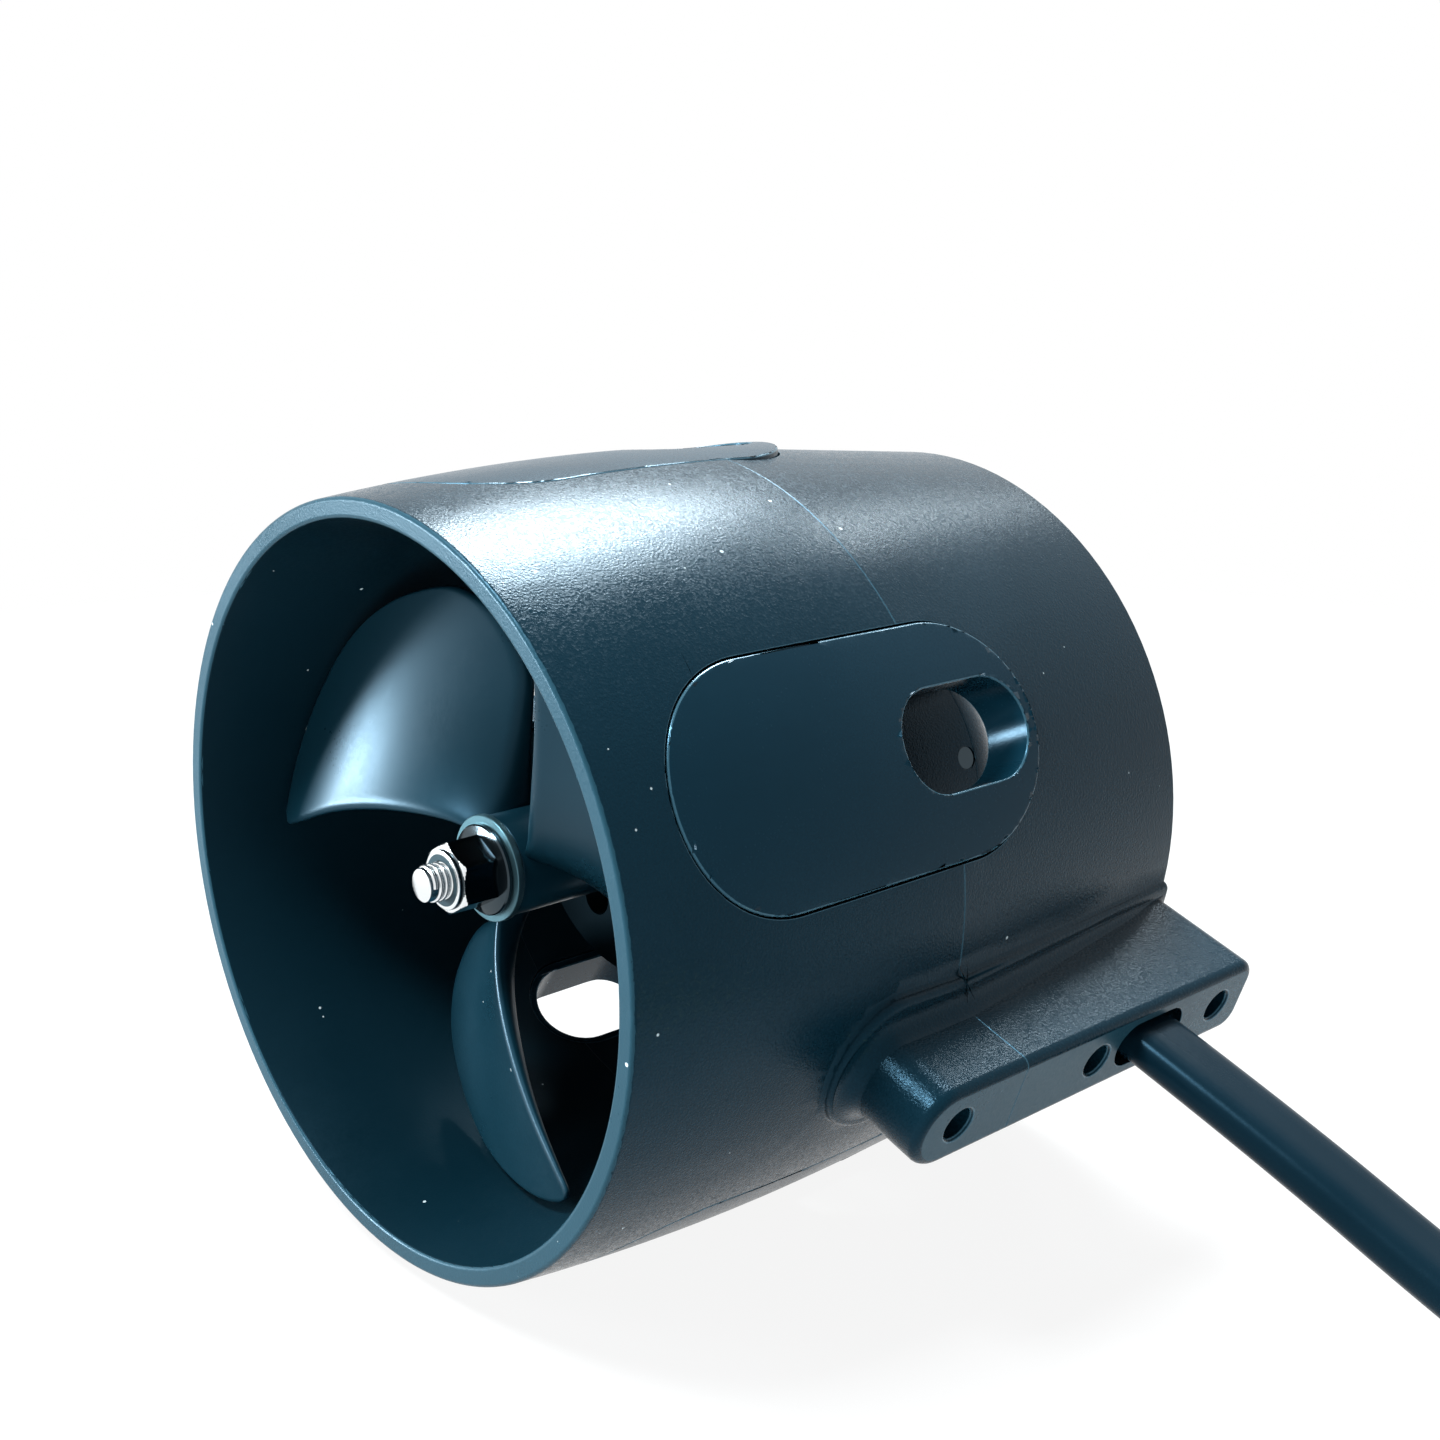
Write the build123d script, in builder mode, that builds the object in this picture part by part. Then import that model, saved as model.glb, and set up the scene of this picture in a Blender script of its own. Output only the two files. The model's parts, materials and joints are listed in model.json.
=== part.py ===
"""A ducted underwater brushless motor: duct shells, propeller, flooded outrunner motor and cable.

Millimetres. The shaft lies along Y and the intake faces -Y. The duct rests on its belly at Z = 0,
and the mounting foot reaches out to +X, a little below the horizontal. A station is a distance
along the shaft from the front rim, and an angle turns about the shaft from +X towards +Z.
"""

import math
import os

from build123d import *

os.makedirs("parts", exist_ok=True)

# Duct shells
duct_length = 116.5
bore_radius = 51.9
bore_flare = 3.2
throat_station = 22.0
rim_wall = 2.9
crown_rise = 3.0
crown_station = 49.7
rear_wall = 4.3
seam_station = 58.8
lap_length = 4.0
lap_wall = 3.4
lap_clearance = 0.05
rim_fillet = 0.7

# Side covers and the windows through them
cover_start = 10.2
cover_end = 79.8
cover_width = 34.8
cover_thickness = 2.4
cover_groove = 0.3
cover_tail_drop = 0.6
cover_seat_gap = 0.05
window_start = 51.0
window_end = 77.6
window_width = 15.4
collar_wall = 1.5
collar_clearance = 0.1
cover_sweep = 26.0
cover_places = {
    "cover_right": 42.8,
    "cover_top": 116.2,
    "cover_left": 185.0,
    "cover_lower_left": 254.2,
    "cover_bottom": 320.3,
}

# Shell screws under the covers
shell_screw_radius = 1.25
shell_screw_head = 2.4
shell_screw_length = 4.8
shell_screw_side = 12.8
screw_clearance = 0.05

# Mounting foot
foot_angle = -19.4
foot_rise = 14.9
foot_thickness = 13.2
foot_start = 37.8
foot_edge_fillet = 1.5
foot_tail_corner = 3.5
pad_rise = 1.9
pad_tail_rise = 1.0
pad_lead = 3.0
pad_width = 22.4
pad_tail_width = 17.0
pad_edge_fillet = 1.2
foot_hole_radius = 2.6
foot_hole_depth = 12.0
foot_hole_inset = 8.5
foot_hole_spacing = 31.1
foot_hole_count = 3
foot_hole_chamfer = 0.4

# Cable outlet in the foot
outlet_station = 90.4
outlet_length = 16.2
outlet_width = 8.0
outlet_depth = 15.0
tool_margin = 1.0
edge_tolerance = 0.01
profile_turn = 20.0
channel_length = 7.4
channel_width = 2.6

# Vanes, motor seat and tail
vane_count = 5
vane_end = 109.0
vane_thickness = 2.6
foot_vane_thickness = 5.4
pod_radius = 25.0
pod_wall = 2.4
carrier_gap = 0.03
seat_station = 84.0
seat_thickness = 3.5
seat_bore_radius = 8.0
pod_end = 104.0
tail_end = 115.8
tail_wall = 2.0
spigot_length = 4.0
spigot_clearance = 0.05
tail_screw_count = 3
tail_screw_radius = 1.0
tail_screw_head = 1.9
tail_screw_length = 4.2

# Shaft, nut and washer
shaft_radius = 3.0
shaft_tip = 7.2
shaft_end = 87.4
shaft_chamfer = 0.6
shaft_fit = 0.02
washer_radius = 8.35
washer_gap = 0.1
washer_ring_gap = 0.3
washer_thickness = 1.2
nut_across_flats = 10.0
nut_flange_radius = 7.1
nut_flange_thickness = 1.3
nut_length = 8.0
nut_hex_length = 6.0
nut_collar_radius = 4.6
insert_radius = 4.0
insert_length = 1.7
clip_radius = 5.2
clip_thickness = 0.8
clip_groove_radius = 2.6
clip_mouth = 4.2

# Propeller
blade_count = 3
hub_start = 20.2
hub_end = 38.5
hub_radius = 7.9
blade_pitch_per_degree = 0.2262
blade_lead_angle = 179.0
blade_lead_station = 13.3
tip_gap = 1.5
blade_root_thickness = 3.4
blade_tip_thickness = 1.5
blade_sections = 7
blade_root_radius = 5.5
pin_radius = 1.0
pin_length = 12.0
pin_slot_clearance = 0.05
boss_gap = 0.5

# Outrunner motor
bell_radius = 24.0
bell_wall = 1.2
bell_front = 46.0
bell_plate = 3.5
bell_end = 79.0
bell_boss_radius = 7.5
bell_inner_boss_radius = 4.2
vent_count = 6
vent_radius = 3.0
vent_circle = 15.0
grub_radius = 1.5
grub_length = 3.6
flux_ring_wall = 1.4
flux_ring_start = 55.0
flux_ring_length = 22.0
magnet_count = 14
magnet_thickness = 2.4
magnet_share = 0.84
magnet_start = 56.0
magnet_length = 20.0
air_gap = 0.6
stack_start = 57.0
stack_length = 18.0
slot_count = 12
slot_depth = 6.4
tooth_width = 2.8
tooth_tip_length = 1.2
slot_mouth = 1.8
coil_thickness = 1.25
coil_overhang = 2.4
coil_clearance = 0.05
tube_outer_radius = 8.5
base_radius = 20.0
base_thickness = 3.5
motor_screw_count = 4
motor_screw_circle = 13.0
motor_screw_turn = 45.0
motor_screw_radius = 1.5
motor_screw_head = 2.75
motor_screw_head_length = 3.0
motor_screw_length = 6.4

# Water-lubricated bushes
tube_front = 52.0
tube_bore_radius = 5.2
bush_outer_radius = 5.15
bush_length = 9.0
bush_flange_radius = 6.5
bush_flange_thickness = 1.1
running_fit = 0.05
thrust_washer_thickness = 0.8

# Phase leads inside
lead_radius = 0.9
lead_spacing = 2.0
lead_circle = 14.0
lead_bend = 2.2
lead_hole_margin = 0.3

# Cable, its coil and its far end
cable_width = 12.0
cable_thickness = 6.0
seal_depth = 9.0
seal_recess = 3.6
seal_gap = 0.05
cable_first_run = 28.0
coil_turn_radius = 62.0
coil_layers = 2
coil_stub = 41.0
coil_centre_reach = 229.0
coil_second_turn = 225.0
bend_share = 0.45
sleeve_angle = 22.0
sleeve_wall = 0.7
tail_lead_radius = 1.5
tail_lead_spacing = 3.4
tail_lead_angle = 30.0
plug_radius = 2.3
plug_length = 18.0
plug_pin_radius = 1.7
plug_pin_length = 6.0
plug_gap = 0.3

# Radii that follow from the bore
rim_bore_radius = bore_radius + bore_flare
rim_radius = rim_bore_radius + rim_wall
crown_radius = rim_radius + crown_rise
rear_radius = bore_radius + rear_wall
foot_reach = crown_radius + foot_rise
tip_radius = bore_radius - tip_gap

# Where the shaft axis stands, so that the box of the object is centred on the origin
foot_turn = math.radians(-foot_angle)
foot_corner = foot_thickness / 2 - foot_edge_fillet
foot_far_x = (foot_reach - foot_edge_fillet) * math.cos(foot_turn)
foot_far_x += foot_corner * math.sin(foot_turn) + foot_edge_fillet
axis_x = (crown_radius - foot_far_x) / 2
hub_point = Vector(axis_x, -duct_length / 2, crown_radius)
spin_axis = Axis(hub_point, (0, -1, 0))


def station(distance):
    """A plane across the shaft, with local x along X, local y along Z and its normal to the intake."""
    return Plane(origin=hub_point + Vector(0, distance, 0), x_dir=(1, 0, 0), z_dir=(0, -1, 0))


def half_plane(angle):
    """A plane that holds the shaft, with local x along the shaft and local y outwards at an angle."""
    turn = math.radians(angle)
    return Plane(origin=hub_point, x_dir=(0, 1, 0), z_dir=(math.sin(turn), 0, -math.cos(turn)))


def facing(distance, angle, radius):
    """A plane that faces outwards at an angle, with local x along the shaft."""
    turn = math.radians(angle)
    outwards = Vector(math.cos(turn), 0, math.sin(turn))
    place = hub_point + Vector(0, distance, 0) + outwards * radius
    return Plane(origin=place, x_dir=(0, 1, 0), z_dir=outwards)


def finish(builder, name):
    """Labels a finished piece and writes it."""
    builder.part.label = name
    export_step(builder.part, f"parts/{name}.step")


def barrel_radius(distance):
    """The outer radius of the duct on its front arc, at a distance from the rim."""
    rise = crown_radius - rim_radius
    arc_radius = (crown_station**2 + rise**2) / (2 * rise)
    return crown_radius - arc_radius + math.sqrt(arc_radius**2 - (distance - crown_station) ** 2)


def cover_radius(distance):
    """The outer radius of a side cover: the front arc up to the crown, then a flatter arc."""
    if distance <= crown_station:
        return barrel_radius(distance)
    run = (distance - crown_station) / (cover_end - crown_station)
    return crown_radius - cover_tail_drop * run**2


def cover_ring(angle, drop_outside, drop_inside, floor_radius=None):
    """Sketches the section of a band under the cover surface, in the plane at an angle."""
    margin = 2 * tool_margin
    stops = [cover_start - margin, (cover_start + crown_station) / 2, crown_station]
    stops += [(crown_station + cover_end) / 2, cover_end + margin]
    upper = [(stop, cover_radius(stop) - drop_outside) for stop in stops]
    if floor_radius is None:
        lower = [(stop, cover_radius(stop) - drop_inside) for stop in stops]
    else:
        lower = [(stops[0], floor_radius), (stops[-1], floor_radius)]
    with BuildSketch(half_plane(angle)) as section:
        with BuildLine():
            ThreePointArc(upper[0], upper[1], upper[2])
            ThreePointArc(upper[2], upper[3], upper[4])
            if floor_radius is None:
                ThreePointArc(lower[0], lower[1], lower[2])
                ThreePointArc(lower[2], lower[3], lower[4])
            else:
                Line(lower[0], lower[1])
            Line(lower[0], upper[0])
            Line(lower[-1], upper[-1])
        make_face()
    return section.sketch


def reach_of(edge):
    """How far the middle of an edge is from the shaft's axis."""
    middle = (edge @ 0.5) - hub_point
    return math.hypot(middle.X, middle.Z)


def runs_along(edge):
    """Whether an edge leaves the plane across the shaft that it starts in."""
    return abs((edge @ 0.5).Y - (edge @ 0).Y) > edge_tolerance


def stadium(start, end, width, angle, grow=0.0):
    """Sketches a stadium on the duct's surface, well outside it, for a radial extrusion inwards."""
    with BuildSketch(facing((start + end) / 2, angle, rim_radius + foot_reach)) as outline:
        SlotOverall(end - start + 2 * grow, width + 2 * grow)
    return outline.sketch


reach_in = rim_radius + foot_reach - bore_radius + pod_radius
seat_drop = cover_thickness + cover_seat_gap
cover_angles = {name: foot_angle + turn for name, turn in cover_places.items()}

# The pad at the root of the foot: it follows the duct, and gets lower and narrower to the rear
pad_start = foot_start - pad_lead
with BuildPart() as pad:
    pad_middle = pad_start + pad_width / 2
    with BuildSketch(facing(0, foot_angle, foot_reach)) as pad_outline:
        with Locations((pad_middle, 0)):
            Circle(pad_width / 2)
        with BuildLine():
            Polyline(
                (pad_middle, pad_width / 2),
                (duct_length, pad_tail_width / 2),
                (duct_length, -pad_tail_width / 2),
                (pad_middle, -pad_width / 2),
                close=True,
            )
        make_face()
    extrude(pad_outline.sketch, amount=-(foot_reach - bore_radius - tool_margin))
    with BuildSketch(half_plane(foot_angle - cover_sweep)) as pad_profile:
        with BuildLine():
            ThreePointArc(
                (0, rim_radius + pad_rise),
                (crown_station / 2, barrel_radius(crown_station / 2) + pad_rise),
                (seam_station, barrel_radius(seam_station) + pad_rise),
            )
            Polyline(
                (seam_station, barrel_radius(seam_station) + pad_rise),
                (duct_length, rear_radius + pad_tail_rise),
                (duct_length, 0),
                (0, 0),
                (0, rim_radius + pad_rise),
            )
        make_face()
    revolve(pad_profile.sketch, axis=spin_axis, revolution_arc=2 * cover_sweep, mode=Mode.INTERSECT)
    pad_top_edges = [
        edge for edge in pad.edges() if runs_along(edge) and reach_of(edge) > rear_radius
    ]
    fillet(pad_top_edges, radius=pad_edge_fillet)

# The duct with its foot and cover seats, before it is divided at the seam
with BuildPart() as duct_blank:
    with BuildSketch(half_plane(foot_angle + profile_turn)):
        with BuildLine():
            ThreePointArc(
                (0, rim_radius),
                (crown_station / 2, barrel_radius(crown_station / 2)),
                (seam_station, barrel_radius(seam_station)),
            )
            Polyline(
                (seam_station, barrel_radius(seam_station)),
                (duct_length, rear_radius),
                (duct_length, 0),
                (0, 0),
                (0, rim_radius),
            )
        make_face()
    revolve(axis=spin_axis)
    add(pad.part)
    with BuildSketch(facing(0, foot_angle, foot_reach)) as foot_outline:
        with Locations((foot_start + foot_thickness / 2, 0)):
            Circle(foot_thickness / 2)
        with Locations(((foot_start + foot_thickness / 2 + duct_length) / 2, 0)):
            Rectangle(duct_length - foot_start - foot_thickness / 2, foot_thickness)
        fillet(foot_outline.vertices().sort_by(Axis.X)[-2:], radius=foot_tail_corner)
    extrude(amount=-(foot_reach - bore_radius - tool_margin), mode=Mode.ADD)
    foot_normal = facing(0, foot_angle, 1).z_dir
    foot_face = duct_blank.faces().sort_by(Axis(hub_point, foot_normal))[-1]
    fillet(foot_face.edges(), radius=foot_edge_fillet)
    # The bore, with its flared lip, and the seats and windows for the covers
    with BuildSketch(half_plane(foot_angle + profile_turn)):
        with BuildLine():
            TangentArc((throat_station, bore_radius), (0, rim_bore_radius), tangent=(-1, 0))
            Polyline(
                (0, rim_bore_radius),
                (0, 0),
                (duct_length, 0),
                (duct_length, bore_radius),
                (throat_station, bore_radius),
            )
        make_face()
    revolve(axis=spin_axis, mode=Mode.SUBTRACT)

cover_seats = []
window_holes = []
for cover_name, cover_angle in cover_angles.items():
    seat_section = cover_ring(cover_angle - cover_sweep, -cover_thickness, seat_drop)
    with BuildPart() as seat_tool:
        revolve(seat_section, axis=spin_axis, revolution_arc=2 * cover_sweep)
        outline = stadium(cover_start, cover_end, cover_width, cover_angle, cover_groove)
        extrude(outline, amount=-reach_in, mode=Mode.INTERSECT)
    cover_seats.append(seat_tool.part)
    with BuildPart() as hole_tool:
        outline = stadium(window_start, window_end, window_width, cover_angle, collar_wall + collar_clearance)
        extrude(outline, amount=-reach_in)
    window_holes.append(hole_tool.part)

seat_margin = cover_groove
vane_angles = [foot_angle + 360 / vane_count * index for index in range(vane_count)]
lap_start = seam_station - lap_length
spigot_radius = bore_radius + lap_wall
screw_seat_radius = cover_radius(lap_start + lap_length / 2) - seat_drop
shell_screw_turn = math.degrees(math.asin(shell_screw_side / screw_seat_radius))
shell_screw_station = lap_start + lap_length / 2
shell_screw_planes = [
    facing(shell_screw_station, angle + side * shell_screw_turn, screw_seat_radius)
    for angle in cover_angles.values()
    for side in (-1, 1)
]

# Shell screws: countersunk, radial, through the lap joint
with BuildPart() as shell_screws:
    for plane in shell_screw_planes:
        with BuildSketch(plane.offset(-2 * screw_clearance)):
            Circle(shell_screw_radius)
        extrude(amount=-shell_screw_length)
        with BuildSketch(plane.offset(-2 * screw_clearance)):
            Circle(shell_screw_head)
        extrude(amount=-(shell_screw_head - shell_screw_radius), taper=45)
finish(shell_screws, "shell_screws")

with BuildPart() as shell_screw_holes:
    for plane in shell_screw_planes:
        with BuildSketch(plane.offset(tool_margin)):
            Circle(shell_screw_radius + screw_clearance)
        extrude(amount=-shell_screw_length - tool_margin - 4 * screw_clearance)
        with BuildSketch(plane):
            Circle(shell_screw_head + 3 * screw_clearance)
        extrude(amount=-(shell_screw_head + 3 * screw_clearance - shell_screw_radius), taper=45)

foot_hole_first = foot_start + foot_hole_inset
foot_hole_stations = [foot_hole_first + foot_hole_spacing * index for index in range(foot_hole_count)]
with BuildPart() as foot_holes:
    for hole_station in foot_hole_stations:
        with BuildSketch(facing(hole_station, foot_angle, foot_reach)):
            Circle(foot_hole_radius)
        extrude(amount=-foot_hole_depth)
        with BuildSketch(facing(hole_station, foot_angle, foot_reach)):
            Circle(foot_hole_radius + foot_hole_chamfer)
        extrude(amount=-foot_hole_chamfer, taper=45)

# Front duct shell
with BuildPart() as front_duct:
    add(duct_blank.part)
    split(bisect_by=station(seam_station), keep=Keep.TOP)
    with BuildSketch(station(seam_station)):
        Circle(spigot_radius + lap_clearance)
    extrude(amount=lap_length + lap_clearance, mode=Mode.SUBTRACT)
    for tool in cover_seats + window_holes:
        add(tool, mode=Mode.SUBTRACT)
    add(shell_screw_holes.part, mode=Mode.SUBTRACT)
    add(foot_holes.part, mode=Mode.SUBTRACT)
    rim_edges = [
        edge
        for edge in front_duct.edges()
        if (edge @ 0).Y - hub_point.Y < edge_tolerance and not runs_along(edge)
    ]
    fillet(rim_edges, radius=rim_fillet)
finish(front_duct, "front_duct")

# The way of the phase leads and the cable, from the pod through the foot vane to the foot's face
outlet_floor = foot_reach - outlet_depth
with BuildPart() as lead_way:
    with BuildSketch(facing(outlet_station, foot_angle, foot_reach + tool_margin)):
        SlotOverall(outlet_length, outlet_width)
    extrude(amount=-outlet_depth - tool_margin)
    with BuildSketch(facing(outlet_station, foot_angle, foot_reach + tool_margin)):
        SlotOverall(channel_length, channel_width)
    extrude(amount=-(foot_reach + tool_margin - pod_radius + 2 * pod_wall))

# Motor carrier: the pod and the guide vanes, with the seat for the motor base
with BuildPart() as carrier:
    with BuildSketch(station(seat_station)):
        Circle(pod_radius)
    extrude(amount=-(pod_end - seat_station))
    for angle in vane_angles:
        thickness = foot_vane_thickness if angle == foot_angle else vane_thickness
        with BuildSketch(facing((seat_station + vane_end) / 2, angle, pod_radius - pod_wall / 2)):
            SlotOverall(vane_end - seat_station, thickness)
        extrude(amount=bore_radius - pod_radius + pod_wall)
    with BuildSketch(station(seat_station + seat_thickness)):
        Circle(pod_radius - pod_wall)
    extrude(amount=-(pod_end - seat_station), mode=Mode.SUBTRACT)
    with BuildSketch(station(seat_station)):
        Circle(seat_bore_radius)
        with PolarLocations(motor_screw_circle, motor_screw_count, foot_angle + motor_screw_turn):
            Circle(motor_screw_radius + screw_clearance)
    extrude(amount=-seat_thickness, mode=Mode.SUBTRACT)
    with BuildSketch(station(pod_end)):
        Circle(pod_radius + spigot_clearance)
    extrude(amount=-(duct_length - pod_end), mode=Mode.SUBTRACT)
    with BuildSketch(station(seat_station - seat_thickness)):
        Circle(bore_radius - carrier_gap)
    extrude(amount=-(duct_length - seat_station), mode=Mode.INTERSECT)
    with BuildSketch(facing(outlet_station, foot_angle, foot_reach)):
        SlotOverall(channel_length, channel_width)
    extrude(amount=-(foot_reach - pod_radius + 2 * pod_wall), mode=Mode.SUBTRACT)

# Rear duct shell, with the spigot
with BuildPart() as rear_duct:
    add(duct_blank.part)
    split(bisect_by=station(seam_station), keep=Keep.BOTTOM)
    with BuildSketch(station(lap_start)):
        Circle(spigot_radius)
        Circle(bore_radius, mode=Mode.SUBTRACT)
    extrude(amount=-lap_length)
    add(lead_way.part, mode=Mode.SUBTRACT)
    for tool in cover_seats + window_holes:
        add(tool, mode=Mode.SUBTRACT)
    add(shell_screw_holes.part, mode=Mode.SUBTRACT)
    add(foot_holes.part, mode=Mode.SUBTRACT)
finish(rear_duct, "rear_duct")

# Side covers, each with a collar that lines its window
for cover_name, cover_angle in cover_angles.items():
    skin_section = cover_ring(cover_angle - cover_sweep, 0, cover_thickness)
    core_section = cover_ring(cover_angle - cover_sweep, cover_thickness / 2, 0, bore_radius + seat_margin)
    with BuildPart() as collar:
        revolve(core_section, axis=spin_axis, revolution_arc=2 * cover_sweep)
        outline = stadium(window_start, window_end, window_width, cover_angle, collar_wall)
        extrude(outline, amount=-reach_in, mode=Mode.INTERSECT)
    with BuildPart() as cover:
        revolve(skin_section, axis=spin_axis, revolution_arc=2 * cover_sweep)
        outline = stadium(cover_start, cover_end, cover_width, cover_angle)
        extrude(outline, amount=-reach_in, mode=Mode.INTERSECT)
        add(collar.part)
        outline = stadium(window_start, window_end, window_width, cover_angle)
        extrude(outline, amount=-reach_in, mode=Mode.SUBTRACT)
    finish(cover, cover_name)


def ring(start, end, outer, inner=0.0):
    """Adds a ring or disc about the shaft, from one station to the next."""
    with BuildSketch(station(start)) as section:
        Circle(outer)
        if inner:
            Circle(inner, mode=Mode.SUBTRACT)
    extrude(section.sketch, amount=-(end - start))


# Motor base: a flange against the seat and the bearing tube
base_front = seat_station - base_thickness
tube_length = seat_station - tube_front
motor_screw_seat = seat_station + seat_thickness
motor_screw_tip = motor_screw_seat - motor_screw_length
lead_slot_inner = lead_circle - lead_spacing - lead_radius - lead_hole_margin
lead_slot_outer = lead_circle + lead_spacing + lead_bend + lead_hole_margin
with BuildSketch(station(base_front)) as lead_slot:
    with Locations(Location((0, 0, 0), (0, 0, foot_angle))):
        with Locations(((lead_slot_inner + lead_slot_outer) / 2, 0)):
            Rectangle(lead_slot_outer - lead_slot_inner, 2 * (lead_radius + lead_hole_margin))
lead_slot_tool = extrude(lead_slot.sketch, amount=-(motor_screw_seat - base_front))
with BuildPart() as motor_base:
    ring(base_front, seat_station, base_radius)
    ring(tube_front, seat_station, tube_outer_radius)
    with BuildSketch(station(tube_front)):
        Circle(tube_bore_radius)
    extrude(amount=-tube_length, mode=Mode.SUBTRACT)
    with BuildSketch(station(motor_screw_tip - 2 * screw_clearance)):
        with PolarLocations(motor_screw_circle, motor_screw_count, foot_angle + motor_screw_turn):
            Circle(motor_screw_radius + screw_clearance)
    extrude(amount=-(seat_station - motor_screw_tip + 2 * screw_clearance), mode=Mode.SUBTRACT)
    add(lead_slot_tool, mode=Mode.SUBTRACT)
finish(motor_base, "motor_base")

# Tail cone and its screws, then the finished motor carrier
spigot_outer = pod_radius - pod_wall - spigot_clearance
spigot_inner = spigot_outer - tail_wall
dome_radius = tail_end - pod_end
tail_screw_station = pod_end - spigot_length / 2
tail_screw_planes = [
    facing(tail_screw_station, foot_angle + 180 / vane_count + 360 / tail_screw_count * index, pod_radius)
    for index in range(tail_screw_count)
]
with BuildPart() as tail_screw_holes:
    for plane in tail_screw_planes:
        with BuildSketch(plane.offset(tool_margin)):
            Circle(tail_screw_radius + screw_clearance)
        extrude(amount=-tail_screw_length - tool_margin - 2 * screw_clearance)
        with BuildSketch(plane.offset(screw_clearance)):
            Circle(tail_screw_head + 6 * screw_clearance)
        extrude(amount=-(tail_screw_head + 6 * screw_clearance - tail_screw_radius), taper=45)
with BuildPart() as tail_screws:
    for plane in tail_screw_planes:
        with BuildSketch(plane.offset(-4 * screw_clearance)):
            Circle(tail_screw_radius)
        extrude(amount=-tail_screw_length + 4 * screw_clearance)
        with BuildSketch(plane.offset(-4 * screw_clearance)):
            Circle(tail_screw_head)
        extrude(amount=-(tail_screw_head - tail_screw_radius), taper=45)
finish(tail_screws, "tail_screws")

with BuildPart() as tail_cone:
    with BuildSketch(half_plane(foot_angle)):
        with BuildLine():
            TangentArc((pod_end, pod_radius), (tail_end, pod_radius - dome_radius), tangent=(1, 0))
            Polyline(
                (tail_end, pod_radius - dome_radius),
                (tail_end, 0),
                (tail_end - tail_wall, 0),
                (tail_end - tail_wall, pod_radius - dome_radius),
            )
            TangentArc(
                (pod_end, spigot_inner),
                (tail_end - tail_wall, pod_radius - dome_radius),
                tangent=(1, 0),
            )
            Polyline(
                (pod_end, spigot_inner),
                (pod_end - spigot_length, spigot_inner),
                (pod_end - spigot_length, spigot_outer),
                (pod_end, spigot_outer),
                (pod_end, pod_radius),
            )
        make_face()
    revolve(axis=spin_axis)
    add(tail_screw_holes.part, mode=Mode.SUBTRACT)
finish(tail_cone, "tail_cone")

with BuildPart() as motor_carrier:
    add(carrier.part)
    add(lead_slot_tool, mode=Mode.SUBTRACT)
    add(tail_screw_holes.part, mode=Mode.SUBTRACT)
finish(motor_carrier, "motor_carrier")

with BuildPart() as motor_screws:
    with BuildSketch(station(motor_screw_tip)):
        with PolarLocations(motor_screw_circle, motor_screw_count, foot_angle + motor_screw_turn):
            Circle(motor_screw_radius)
    extrude(amount=-motor_screw_length)
    with BuildSketch(station(motor_screw_seat)):
        with PolarLocations(motor_screw_circle, motor_screw_count, foot_angle + motor_screw_turn):
            Circle(motor_screw_head)
    extrude(amount=-motor_screw_head_length)
finish(motor_screws, "motor_screws")

# Bushes in the two ends of the tube
bush_bore_radius = shaft_radius + running_fit
with BuildPart() as front_bush:
    ring(tube_front - bush_flange_thickness, tube_front, bush_flange_radius)
    ring(tube_front, tube_front + bush_length, bush_outer_radius)
    with BuildSketch(station(tube_front - bush_flange_thickness)):
        Circle(bush_bore_radius)
    extrude(amount=-(bush_flange_thickness + bush_length), mode=Mode.SUBTRACT)
finish(front_bush, "front_bush")
with BuildPart() as rear_bush:
    ring(seat_station, seat_station + bush_flange_thickness, bush_flange_radius)
    ring(seat_station - bush_length, seat_station, bush_outer_radius)
    with BuildSketch(station(seat_station - bush_length)):
        Circle(bush_bore_radius)
    extrude(amount=-(bush_flange_thickness + bush_length), mode=Mode.SUBTRACT)
finish(rear_bush, "rear_bush")

# Stator: the toothed core and a coil on each tooth
magnet_outer = bell_radius - bell_wall - flux_ring_wall
magnet_inner = magnet_outer - magnet_thickness
stator_radius = magnet_inner - air_gap
slot_outer = stator_radius - tooth_tip_length
slot_inner = slot_outer - slot_depth
slot_pitch = 360 / slot_count
stack_end = stack_start + stack_length
with BuildPart() as stator_core:
    with BuildSketch(station(stack_start)):
        Circle(stator_radius)
        Circle(slot_outer, mode=Mode.SUBTRACT)
        with PolarLocations(stator_radius, slot_count, foot_angle + slot_pitch / 2):
            Rectangle(4 * tooth_tip_length, slot_mouth, mode=Mode.SUBTRACT)
        Circle(slot_inner)
        with PolarLocations((slot_inner + slot_outer) / 2, slot_count, foot_angle):
            Rectangle(slot_depth + tooth_tip_length, tooth_width)
        Circle(tube_outer_radius + coil_clearance, mode=Mode.SUBTRACT)
    extrude(amount=-stack_length)
finish(stator_core, "stator_core")
coil_middle = (slot_inner + slot_outer) / 2
coil_hole_width = tooth_width + 2 * coil_clearance
coil_hole_length = stack_length + 2 * coil_clearance
with BuildPart() as stator_coils:
    for index in range(slot_count):
        with BuildSketch(facing(stack_start + stack_length / 2, foot_angle + index * slot_pitch, slot_inner + 2 * coil_clearance)):
            RectangleRounded(
                stack_length + 2 * coil_overhang,
                coil_hole_width + 2 * coil_thickness,
                coil_thickness,
            )
            Rectangle(coil_hole_length, coil_hole_width, mode=Mode.SUBTRACT)
        extrude(amount=slot_depth - 4 * coil_clearance)
    with BuildSketch(station(stack_start - 2 * coil_overhang)) as coil_reach:
        Circle(slot_outer - coil_clearance)
    extrude(coil_reach.sketch, amount=-(stack_length + 4 * coil_overhang), mode=Mode.INTERSECT)
finish(stator_coils, "stator_coils")

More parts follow.
